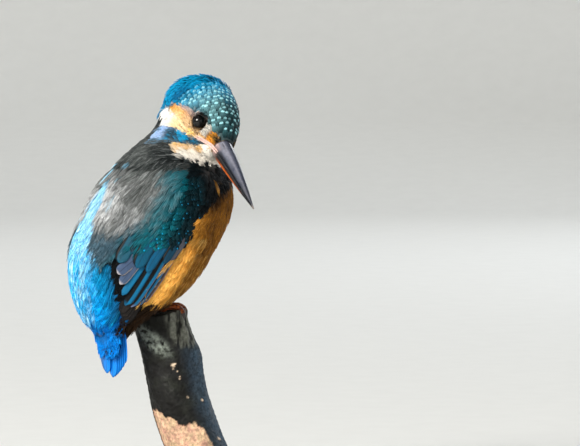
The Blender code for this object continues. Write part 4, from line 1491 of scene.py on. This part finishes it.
for side, word in SIDES:
    wing = Vanes()
    inner = -side
    for k, (start, end) in enumerate(PRIMARIES):
        path, out = wing_line(side, start, end, -0.2, 0.1 + 0.08 * k, 1.0)
        tones = (PRIMARY_BROWN, PRIMARY_DARK, PRIMARY_DARK)
        wing.add(path, out, 2.2, inner, tones, (0.5, 0.1, 0.3), chance.uniform(), blunt=0.8)
    for k, (start, end, half, web, pale) in enumerate(SECONDARIES):
        path, out = wing_line(side, start, end, -0.3, (-0.3, 0.2, 0.7, 0.9, 1.05)[k], 1.0)
        tones = (WING_BLUE if k else OUTER_BROWN, WING_EDGE_LILAC if pale else WING_BLUE, INK)
        wing.add(path, out, half, inner, tones, (0.2, web, 0.7), chance.uniform(), blunt=0.9, tilt=0.24)
    for k, (start, end, half) in enumerate(TERTIALS):
        path, out = wing_line(side, start, end, 0.3, 1.35 + 0.2 * k, 1.0)
        tones = (TERTIAL_GREY, TIP_PALE, INK)
        wing.add(path, out, half, inner, tones, (0.5, 0.6, 0.7), chance.uniform(), blunt=0.86)
    for k, (start, end, half, colour) in enumerate(GREATER):
        path, out = wing_line(side, start, end, 0.2, 1.0 + 0.17 * k, 0.0)
        tones = (colour, between(colour, SPOT_BLUE, 0.3), INK)
        wing.add(path, out, half, inner, tones, (0.4, 0.3, 0.3), chance.uniform(), blunt=0.8)
    wing.piece(f"flight_feathers_{word}", flight)

# %% [markdown]
# The tail is twelve feathers under one another like roof slats, the middle pair on top. It replaces
# the tail's solid.

# %% Tail
TAIL_X, TAIL_TOP_Z, TAIL_TIP_Z, TAIL_ROOF, TAIL_HALF = -25.9, 0.0, -25.3, 1.5, 9.6
TAIL_BLUE, TAIL_PALE, TAIL_DARK = tone(0, 122, 216), tone(4, 138, 228), tone(0, 40, 98)
TAIL_TILT = 1.2                         # mm by which its right edge stands further forward than its middle
RECTRIX_HALF = 3.3


def tail_line(place, rise):
    """The path of the feather whose tip lies at a share of the tail's half width."""
    u = np.linspace(0, 1, VANE_RINGS)
    y = (TAIL_HALF - RECTRIX_HALF) * place * (0.93 + 0.07 * np.sin(np.pi * u ** 0.8))
    y = y * (1.2 - 0.1 * u if place > 0 else 1.0)
    across = y / TAIL_HALF
    tip = TAIL_TIP_Z + 5.6 * abs(place) ** 2.4 + (1.4 if place > 0 else 0.0)
    z = TAIL_TOP_Z + (tip - TAIL_TOP_Z) * u
    x = TAIL_X - 2.0 * (1 - u) ** 2 + TAIL_ROOF * across ** 2 - rise * (0.4 + 0.6 * u)
    x += TAIL_TILT * (1 - 1.6 * across)
    out = unit(np.column_stack((np.full_like(u, -1.0), 0.3 * across, 0.1 + 0 * u)))
    return np.column_stack((x, y, z)), out


tail = Vanes()
for pair in reversed(range(6)):
    for side in (-1, 1):
        place = side * (0.3 + 0.7 * pair / 5)
        path, out = tail_line(place, 0.05 - 0.14 * pair)
        tail.add(
            path, out, RECTRIX_HALF, side, (TAIL_BLUE, TAIL_PALE, TAIL_DARK),
            (0.12 if pair else 0.5, 0.6, 0.25), chance.uniform(), blunt=0.84, root=0.8, tilt=-0.1,
        )
tail.piece("tail_feathers", flight, ("tail",))

# %% [markdown]
# ## Bill
# Two long horny sheaths over bone. Each is lofted through sections along its length: the upper has a
# ridge, the culmen, and a slit nostril near its root, and their cutting edges meet in one straight
# line. Pale soft skin runs back from the root along the gape.

# %% Lofts
def lofted(name, rings, attributes=None, looped=False):
    """A closed mesh through rings of equal size, given in the perch frame. Its two ends are closed,
    or joined to each other if it is looped."""
    sides, last = len(rings[0]), (len(rings) - 1) * len(rings[0])
    faces = tube_faces(0, sides, len(rings))
    if looped:
        faces[-2:] = band(last, 0, sides)
    mesh = mesh_of(name, np.concatenate(rings), faces)
    face_out(mesh)
    for key, values in (attributes or {}).items():
        put(mesh, key, values)
    return new_object(name, mesh)


# %% Bill shapes
CULMEN = ((8, 2.6, 4.2), (14.5, 2.9, 4.1), (24, 2.6, 3.2), (36, 1.4, 2.0), (50.5, -0.75, 0.3))
GONYS = ((8, -5.4, 4.2), (16, -5.2, 3.8), (24, -4.6, 3.0), (36, -3.2, 1.9), (50.5, -1.25, 0.3))
BILL_LINE = ((8, -2.0), (17, -1.6), (50.5, -1.0))
BILL_RINGS, BILL_SIDES, MOUTH_SIDES = 72, 28, 6   # rings, sides of each, and those inside the mouth
# The pale horn tone is used only for painted highlights.
HORN_DARK, HORN_GREY, HORN_HIGHLIGHT = tone(12, 14, 20), tone(54, 59, 76), tone(150, 150, 162)
GAPE_PINK, MOUTH_ORANGE, PALE_BILL_TIP = tone(222, 190, 184), tone(214, 104, 36), tone(150, 140, 132)


def horn_tones(x, side, keel, slit, upper):
    """Colours round one section of the bill. side is 0 along the mouth and 1 on the ridge."""
    root, far = np.clip((19 - x) / 7, 0, 1), np.clip((x - 30) / 14, 0, 1)
    if upper:
        colours = between(HORN_GREY, HORN_DARK, far * 0.7)
        # Painted highlights: a pale band high on the side below the ridge, and a broad one near the root.
        colours = between(colours, HORN_HIGHLIGHT, 0.5 * np.exp(-((side - 0.75) / 0.14) ** 2) * (1 - far * 0.5))
        base = np.clip((28 - x) / 10, 0, 1)
        colours = between(colours, HORN_HIGHLIGHT, 0.55 * np.exp(-((side - 0.6) / 0.25) ** 2) * base)
        # Painted shade: a dark line along the ridge, where the far side falls away from the light. The
        # nostril slit is dark as well.
        colours = between(colours, HORN_DARK, np.maximum(0.8 * keel, 0.85 * slit))
        colours = between(colours, HORN_DARK, 0.85 * (side < 0.22) * np.clip((x - 17) / 4, 0, 1))
        colours = between(colours, GAPE_PINK, root * np.clip((0.5 - side) / 0.2, 0, 1))
    else:
        warm = np.clip((x - 18) / 5, 0, 1) * np.clip((42 - x) / 8, 0, 1)
        colours = between(HORN_DARK, MOUTH_ORANGE, warm * np.clip((side - 0.35) / 0.25, 0, 1))
        colours = between(colours, GAPE_PINK, root * np.clip((0.8 - side) / 0.2, 0.25, 1))
    # The bill turns pale grey over its last two millimetres.
    return between(colours, PALE_BILL_TIP, np.clip((x - 48.5) / 2, 0, 1))


def horn_finish():
    s = Shader("horn", 0.38, Specular_IOR_Level=0.4)
    place = s.place()
    grain, worn = s.grain(place, 900.0, 4.0), s.grain(place, 260.0, 2.0)
    colour = s.shaded(s.stored("main"), s.ramp(grain, 0.3, 0.7, 0.82, 1.12))
    return s.finish(colour, grain, 0.15, 0.00008, s.ramp(worn, 0.3, 0.7, 0.24, 0.42))


def mandible(name, upper, replaced):
    """One sheath of the bill, with its colours."""
    sign = 1 if upper else -1
    profile = CULMEN if upper else GONYS
    x = np.linspace(8.0, 50.5, BILL_RINGS)
    edge, ridge, half = flowing(BILL_LINE, x), flowing(profile, x), flowing(profile, x, 2)
    turn = np.linspace(0, np.pi, BILL_SIDES - MOUTH_SIDES)
    from_ridge = np.abs(turn - np.pi / 2)
    keel = np.exp(-((turn - np.pi / 2) / 0.16) ** 2)
    groove = np.exp(-((from_ridge - 0.42) / 0.16) ** 2)
    mouth = np.zeros(MOUTH_SIDES)
    rings, tones = [], []
    for k in range(BILL_RINGS):
        flat, tall = half[k] * 0.97, abs(ridge[k] - edge[k]) - 0.06
        y = flat * np.sign(np.cos(turn)) * np.abs(np.cos(turn)) ** 0.8
        up = tall * np.sin(turn) ** (0.85 if upper else 0.7)
        up += 0.05 * tall * keel - 0.03 * tall * groove
        nostril = np.exp(-(((x[k] - 17.2) / 1.6) ** 2)) * np.exp(-((from_ridge - 0.82) / 0.10) ** 2)
        y = y * (1 - (0.16 * nostril if upper else 0))
        y = np.concatenate((y, np.linspace(-flat * 0.9, flat * 0.9, MOUTH_SIDES)))
        up = np.concatenate((up, mouth))
        rings.append(head_to_perch(np.column_stack((np.full(len(y), x[k]), y, edge[k] + sign * (0.06 + up)))))
        side, dark, slit = (np.concatenate((part, mouth)) for part in (np.sin(turn), keel, nostril))
        tones.append(horn_tones(x[k], side, dark, slit, upper))
    keep(lofted(name, rings, {"main": np.concatenate(tones)}), (replaced,), horn)


horn = horn_finish()
mandible("upper_mandible", True, "bill_upper")
mandible("lower_mandible", False, "bill_lower")

# %% [markdown]
# The gape is the soft, pale corner of the mouth. It is a pair of lips on each side, one above the
# line and one below, that thin out towards the cheek.

# %% Gape
GAPE_LINE = ((18.5, 4.15, -1.6), (15.5, 5.1, -1.7), (12.5, 6.5, -2.5), (9.8, 7.9, -3.5), (7.6, 8.9, -4.4))


def lip_rings(side, lip):
    """Rings along one lip. side is 1 on the left, and lip is 1 above the mouth's line."""
    u = np.linspace(0, 1, 30)
    line = np.array(GAPE_LINE)
    centre = smooth_path(np.linspace(0, 1, len(line)), line, u)
    centre[:, 1] *= side
    centre[:, 2] += lip * 0.42
    wide = 0.45 * np.sin(np.pi * (0.12 + 0.86 * u)) ** 0.6
    turn = all_round(10)
    return [
        head_to_perch(middle + np.column_stack((0 * turn, side * 0.55 * w * np.cos(turn), w * np.sin(turn))))
        for middle, w in zip(centre, wide)
    ]


def soft_skin(name, light, dark, size):
    s = Shader(name, 0.5, Specular_IOR_Level=0.25)
    place = s.place()
    cells, patches = s.cells(place, size), s.grain(place, size * 0.2, 3.0)
    colour = s.blend(s.ramp(cells, 0.1, 0.7), light, s.blend(patches, light, dark))
    return s.finish(colour, cells, 0.3, 0.00008)


gape_skin = soft_skin("gape_skin", GAPE_PINK, tone(176, 128, 110), 1500.0)
for side, word in SIDES:
    for lip, level in ((1, "upper"), (-1, "lower")):
        keep(lofted(f"gape_{word}_{level}", lip_rings(side, lip)), (), gape_skin)

# %% [markdown]
# ## Eyes
# A glossy, nearly black ball under a thin dark lid. The lid is a ring of bare skin whose opening is a
# little longer towards the bill than it is high, so the ball never looks stuck on.

# %% Eyes and lids
EYE_BALL = 2.6
BALL_SIDES, BALL_RINGS = 48, 32
EYE_FACING = unit(np.array((0.20, 0.96, 0.12)))
OPEN_LONG, OPEN_HIGH = 1.85, 1.3
LID_RINGS = (                           # mm outwards from the opening's edge, and mm out from the ball
    (0.0, -0.35), (0.0, 0.05), (0.06, 0.12), (0.16, 0.12), (0.28, 0.0), (0.5, -0.45), (0.8, -1.2),
)


def eye_axes(side):
    facing = EYE_FACING * np.array((1, side, 1))
    forward = unit(np.cross(np.cross(facing, np.array((1.0, 0, -0.25))), facing))
    return forward, unit(np.cross(facing, forward)), facing


def ball(name, centre, radius):
    """A closed ball of rings between two poles."""
    turn = all_round(BALL_SIDES)
    rings = [
        np.column_stack((np.cos(rise) * np.cos(turn), np.cos(rise) * np.sin(turn), 0 * turn + np.sin(rise)))
        for rise in np.linspace(-np.pi / 2, np.pi / 2, BALL_RINGS + 1)[1:-1]
    ]
    points = np.concatenate((*rings, ((0.0, 0.0, -1.0), (0.0, 0.0, 1.0))))
    low, high = len(points) - 2, len(points) - 1
    last = low - BALL_SIDES
    faces = tube_faces(0, BALL_SIDES, len(rings))[:-2]
    for a, b in zip(range(BALL_SIDES), (*range(1, BALL_SIDES), 0)):
        faces += [(b, a, low), (last + a, last + b, high)]
    mesh = mesh_of(name, np.asarray(centre) + radius * points, faces)
    face_out(mesh)
    return new_object(name, mesh)


def lid(name, side):
    forward, upward, facing = eye_axes(side)
    centre = EYE_AT * np.array((1, side, 1))
    turn = all_round(56)
    long, high = OPEN_LONG * np.cos(turn), OPEN_HIGH * np.sin(turn)
    long = long * (1 + 0.10 * np.cos(turn) ** 2)
    rings = []
    for grow_by, raise_by in LID_RINGS:
        share = 1 + grow_by / np.hypot(OPEN_LONG * np.cos(turn), OPEN_HIGH * np.sin(turn))
        a, b = long * share, high * share
        height = np.sqrt(np.maximum(EYE_BALL ** 2 - long ** 2 - high ** 2, 0.6))
        local = centre + np.outer(a, forward) + np.outer(b, upward) + np.outer(height + raise_by, facing)
        rings.append(head_to_perch(local))
    return lofted(name, rings, looped=True)


def eye_finish():
    s = Shader("eye", 0.08, Specular_IOR_Level=0.42)
    return s.finish(s.blend(s.grain(s.place(), 700.0, 3.0), tone(3, 2, 2), tone(9, 6, 5)))


eye_glass = eye_finish()
lid_skin = soft_skin("lid_skin", tone(10, 9, 9), tone(4, 4, 4), 2200.0)
for side, word in SIDES:
    eye = ball(f"eyeball_{word}", head_to_perch(EYE_AT * np.array((1, side, 1))), EYE_BALL)
    keep(eye, (f"eye_{word}",), eye_glass)
    keep(lid(f"eyelid_{word}", side), (), lid_skin)

# %% [markdown]
# ## Feet
# A kingfisher's legs are very short and its front toes are joined at the root. The toes are covered
# in scutes, so each toe is a tube that swells at each of them above, is nearly smooth beneath, and
# ends in a separate dark claw.

# %% Toes and claws
ANKLE = (-3.4, -5.8, 2.4)
TARSUS_TOP = (-5.5, -6.4, 8.5)
TOES = {
    "inner": (((-0.4, -4.0, 2.6), (3.4, -2.8, 2.7), (7.2, -2.4, 1.7), (8.9, -2.2, -1.4)), 1.3),
    "middle": (((-0.2, -5.6, 2.9), (3.2, -5.9, 3.1), (6.2, -6.2, 1.6), (7.2, -6.5, -2.2)), 1.55),
    "outer": (((-0.9, -7.2, 2.7), (1.2, -8.8, 2.7), (3.2, -10.2, 1.0), (3.8, -10.8, -2.4)), 1.4),
    "hind": (((-6.2, -5.2, 2.3), (-9.0, -4.8, 1.9), (-11.6, -4.5, 0.5), (-12.8, -4.4, -2.6)), 1.4),
}
TOE_FLESH = 0.84                        # the share of a toe's length that is skin


def curved(points, count):
    """A smooth path through points, evenly spaced."""
    points = np.array(points, float)
    run = distance_along(points)
    return smooth_path(run, points, np.linspace(0, run[-1], count))


def tube_rings(path, radii, sides, squash=1.0):
    """Rings round a path. radii has one row for each ring and one value for each side."""
    along = unit(np.gradient(path, axis=0))
    up = np.array((0.0, 0.0, 1.0))
    across = unit(np.cross(along, up + along * 1e-3))
    over = np.cross(across, along)
    turn = all_round(sides)
    return [
        at + np.outer(np.cos(turn) * r, a) + np.outer(np.sin(turn) * r * squash, o)
        for at, r, a, o in zip(path, radii, across, over)
    ]


def scaly_finish():
    s = Shader("foot_scales", 0.5, Specular_IOR_Level=0.25)
    place = s.place()
    scales, dirt = s.cells(place, 1100.0), s.grain(place, 320.0, 4.0)
    colour = s.blend(s.ramp(scales, 0.15, 0.75), tone(158, 78, 26), tone(84, 34, 10))
    colour = s.blend(s.ramp(dirt, 0.45, 0.75, 0.0, 0.6), colour, tone(70, 30, 16))
    return s.finish(colour, scales, 0.5, 0.00012)


def claw_finish():
    s = Shader("claw", 0.3)
    grain = s.grain(s.place(), 1200.0, 3.0)
    return s.finish(s.blend(grain, tone(26, 22, 22), tone(58, 48, 44)), grain, 0.2, 0.00005)


def joined(name, things):
    """One object from several, in the order given."""
    whole = bmesh.new()
    for thing in things:
        whole.from_mesh(thing.data)
        bpy.data.objects.remove(thing)
    return new_object(name, mesh_from(whole, name))


foot_scales, claw_horn = scaly_finish(), claw_finish()
TOE_SIDES, CLAW_SIDES = 16, 12
TOE_RINGS, SHANK_RINGS = 60, 34
FOOT_SHIFT = np.array((-0.9, 0.0, -0.15))
for side, word in ((1, "right"), (-1, "left")):
    mirror = np.array((1, side, 1))
    flesh, claws = [], []
    for toe, (points, radius) in TOES.items():
        path = curved([ANKLE, *points], TOE_RINGS) * mirror + FOOT_SHIFT
        last = int(TOE_RINGS * TOE_FLESH)
        u = np.linspace(0, 1, last)
        scutes = 9 if toe == "middle" else 8
        top = np.clip(np.sin(all_round(TOE_SIDES)), 0, 1)
        swell = 0.90 + 0.10 * np.abs(np.sin(np.pi * scutes * u))[:, None] ** 0.5 * (0.4 + 0.6 * top[None, :])
        taper = (1 - 0.22 * u)[:, None]
        close = np.sqrt(np.clip((1.0 - u) / 0.06, 0.05, 1))[:, None]
        flesh.append(lofted(toe, tube_rings(path[:last], radius * swell * taper * close, TOE_SIDES, 0.92)))
        claw_path = path[last - 4:]
        v = np.linspace(0, 1, len(claw_path))
        radii = (radius * 0.62 * (1 - v ** 1.4) + 0.10)[:, None] * np.ones((1, CLAW_SIDES))
        claws.append(lofted(toe + "_claw", tube_rings(claw_path, radii, CLAW_SIDES, 1.15)))
    shank = curved([TARSUS_TOP, (-4.6, -6.2, 5.4), ANKLE, (-2.2, -5.6, 2.5)], SHANK_RINGS)
    shank = shank * mirror + FOOT_SHIFT
    u = np.linspace(0, 1, SHANK_RINGS)
    rough = 1.5 + 0.25 * u + 0.08 * np.abs(np.sin(np.pi * 6 * u))
    flesh.append(lofted("shank", tube_rings(shank, rough[:, None] * np.ones((1, TOE_SIDES)), TOE_SIDES)))
    keep(joined(f"foot_{word}", flesh), (f"leg_{word}",), foot_scales)
    keep(joined(f"claws_{word}", claws), (), claw_horn)

# %% [markdown]
# ## The perch
# A short length of a dead branch, broken off at the top. The solid gives its lean, its swellings and
# its slanting break; a fine remesh carries the bark: plates that end at cracks, small scars, and a
# place low on the near side where the bark has come away from pale wood.

# %% Bark
LEAN = unit(np.array((0.866, -0.5, 0.0)))
NEAR = np.array((-0.5, -0.866, 0.0))
PERCH_RADIUS = 11.6
PEELED_EDGE = (                         # degrees round the branch, and the height below which it is bare
    (-180, -60), (-150, -42), (-120, -60), (30, -64), (50, -56), (58, -46), (72, -43.5), (90, -44.5),
    (120, -41), (150, -39), (180, -39),
)
FLECKS = (                              # torn spots: degrees round the branch, height, size
    (85, -20.3, 0.7), (80, -19.8, 0.45), (86, -21.6, 0.4), (79, -22.8, 0.35), (76, -24.9, 0.4),
    (78, -25.7, 0.3), (38, -34.5, 0.7), (30, -50.0, 0.8), (70, -33.0, 0.4),
)
BARK_BLACK, BARK_GREY, BARK_BLUE = tone(9, 8, 6), tone(31, 33, 27), tone(76, 99, 120)
BARK_GREEN, WOOD_GREY, PEELED = tone(140, 148, 138), tone(110, 112, 102), tone(208, 178, 142)
PEELED_PINK, FLECK = tone(196, 150, 128), tone(214, 190, 164)


def perch_axis(z):
    down = -z
    away = 0.17 * down + 0.0019 * down ** 2 + 0.4 * np.sin(down / 9)
    return np.column_stack((-2.4 + 0.866 * away, -0.5 * away, z))


def on_perch(p):
    """Degrees round the branch from its leaning side, through the near side, and the way out."""
    off = p - perch_axis(p[:, 2])
    off[:, 2] = 0
    return np.degrees(np.arctan2(off @ NEAR, off @ LEAN)), unit(off)


def many_noise(p, size, seed=0.0, stretch=1.0):
    q = p / size * np.array((1, 1, 1 / stretch)) + np.array((seed, 0, 0))
    return np.array([noise.fractal(Vector(v), 1.0, 2.0, 3) for v in q])


BARK_DRAWN_IN, BARK_VOXEL = -0.1, 0.5   # mm
perch_mesh = fused(("perch",), BARK_DRAWN_IN, BARK_VOXEL, 2)
p, n = to_perch(vertex_places(perch_mesh)), vertex_normals(perch_mesh)
turn, way = on_perch(p)
edge = follow(PEELED_EDGE, turn) + 1.6 * many_noise(p, 3.0, 5.0)
peeled = ease(0.25, -0.25, p[:, 2] - edge)
plates = many_noise(p, 2.4, 1.0, 0.55)
cracks = np.exp(-(plates / 0.05) ** 2)
scars = np.clip(many_noise(p, 1.3, 9.0, 0.35) - 0.55, 0, 1)
weathered = ease(-12, -5, p[:, 2] + 5 * many_noise(p, 5.0, 3.0) + 0.05 * (90 - np.abs(turn - 40)))
# The pale weathered wood stops short round the branch, so the bark under the vent stays dark as painted
# shadow of the bird.
weathered *= ease(60, 40, np.abs(turn - 26) + 8 * many_noise(p, 3.0, 8.0))
grain = many_noise(p, 1.6, 7.0, 7.0)
flecks = np.zeros(len(p))
torn = 1 + 0.8 * many_noise(p, 0.9, 11.0)
for at, z, size in FLECKS:
    arc = np.radians((turn - at + 180) % 360 - 180) * PERCH_RADIUS
    off = (arc / size) ** 2 + ((p[:, 2] - z) / (size * 0.8)) ** 2
    flecks = np.maximum(flecks, np.exp(-(off * torn) ** 2))
lean = (p - perch_axis(p[:, 2])) @ LEAN
p[:, 2] += ease(-3.4, -1.2, p[:, 2] - 0.19 * lean) * (1.35 + 0.9 * ease(-1, -8, lean))
push = -0.22 - 0.30 * cracks * (1 - peeled) * (1 - weathered) + 0.16 * plates + 0.25 * flecks
push += 0.35 * grain * weathered - 0.55 * peeled + 0.1 * scars
perch_mesh.vertices.foreach_set("co", to_row(p + n * push[:, None]).ravel())


lit = ease(70, 10, np.abs(turn - 5)) * ease(-4, -18, p[:, 2])
bark = between(BARK_BLACK, BARK_GREY, np.clip(0.2 + 0.9 * many_noise(p, 6.0, 2.0), 0, 1))
bark = between(bark, BARK_BLUE, 0.6 * lit)
green = np.exp(-((((turn - 118) / 34) ** 2 + ((p[:, 2] + 10.6 - (turn - 118) * 0.11) / 4.4) ** 2)) ** 2)
green = green * np.clip(0.85 + 1.9 * many_noise(p, 1.5, 4.0), 0, 1)
bark = between(bark, BARK_GREEN, green)
wood = between(BARK_BLACK, WOOD_GREY, np.clip(0.55 + 1.6 * grain, 0, 1))
bark = between(bark, wood, weathered)
# Painted shade in the cracks: the bark darkens along them.
bark *= (1 - 0.6 * cracks * (1 - weathered))[:, None]
bare = between(PEELED, PEELED_PINK, np.clip(0.5 + many_noise(p, 3.0, 6.0), 0, 1))
# Painted shade in the cracks of the bare wood as well.
bare = bare * (1 - 0.35 * cracks[:, None])
bark = between(between(bark, bare, peeled), FLECK, flecks)
put(perch_mesh, "main", bark)


def bark_finish():
    s = Shader("bark", 0.75, Specular_IOR_Level=0.3)
    place = s.place()
    rough, wide = s.grain(place, 900.0, 5.0), s.grain(place, 240.0, 3.0)
    shade = s.times(s.ramp(rough, 0.3, 0.7, 0.7, 1.3), s.ramp(wide, 0.3, 0.7, 0.8, 1.2))
    colour = s.shaded(s.stored("main"), shade)
    return s.finish(colour, rough, 0.6, 0.0003, s.ramp(wide, 0.3, 0.7, 0.55, 0.9))


keep(new_object("perch_bark", perch_mesh), ("perch",), bark_finish())

# %% [markdown]
# ## The stand
# A museum stand: a turned and lacquered wooden foot, and a steel rod up into the branch. Both are
# turned shapes, so one profile is spun round an upright axis.

# %% Turned pieces
BASE_MIDDLE, BASE_RADIUS, BASE_HEIGHT, BASE_BEVEL = (-4.0, -8.0), 48.0, 7.0, 1.2
ROD_RADIUS, ROD_GAP, SOCKET_DEPTH = 2.0, 0.3, 1.5
TURNED_SIDES, ROD_SIDES = 160, 48


def turned(name, middle, profile, sides):
    """A closed solid of revolution from a profile of radius and height, bottom to top."""
    turn = all_round(sides)
    return lofted(name, [
        np.column_stack((middle[0] + r * np.cos(turn), middle[1] + r * np.sin(turn), np.full(sides, z)))
        for r, z in profile
    ])


def lacquer_finish():
    s = Shader("black_lacquer", 0.28, Coat_Weight=0.6, Coat_Roughness=0.12)
    grain = s.grain(s.place((12.0, 260.0, 60.0)), 1.0, 4.0)
    return s.finish(s.blend(grain, tone(24, 20, 18), tone(44, 34, 29)), grain, 0.08, 0.00005)


def steel_finish():
    s = Shader("brushed_steel", 0.3, Metallic=1.0)
    brushed = s.grain(s.place((200.0, 200.0, 5000.0)), 1.0, 2.0)
    return s.finish(s.blend(brushed, tone(150, 150, 152), tone(186, 187, 190)), brushed, 0.1, 0.00002)


rod_low, rod_high = (to_perch(np.array(v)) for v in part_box("stand_rod"))
rod_middle = (rod_low + rod_high)[:2] / 2
bevel = [
    (BASE_RADIUS - BASE_BEVEL * (1 - math.sin(a)), BASE_HEIGHT - BASE_BEVEL * (1 - math.cos(a)))
    for a in np.linspace(math.pi / 2, 0, 7)
]
foot_z = -PERCH_TOP[2]
base = turned(
    "stand_foot", BASE_MIDDLE,
    [(BASE_RADIUS - 0.6, foot_z), (BASE_RADIUS, foot_z + 0.6)] + [(r, foot_z + h) for r, h in bevel]
    + [(r, foot_z + BASE_HEIGHT) for r in (40.0, 20.0, ROD_RADIUS + ROD_GAP)]
    + [(ROD_RADIUS + ROD_GAP, foot_z + BASE_HEIGHT - SOCKET_DEPTH)], TURNED_SIDES,
)
keep(base, ("stand_base",), lacquer_finish())
rod = turned("stand_pin", rod_middle, [(ROD_RADIUS, rod_low[2]), (ROD_RADIUS, rod_high[2])], ROD_SIDES)
keep(rod, ("stand_rod",), steel_finish())

# %% Finish
bpy.data.objects.remove(bed)
for group in (silks, fringes):
    for plume_object in list(group.objects):
        bpy.data.objects.remove(plume_object)
    bpy.data.collections.remove(group)

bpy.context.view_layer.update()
print("pieces:", len(PIECES), "triangles:", sum(PIECES.values()))
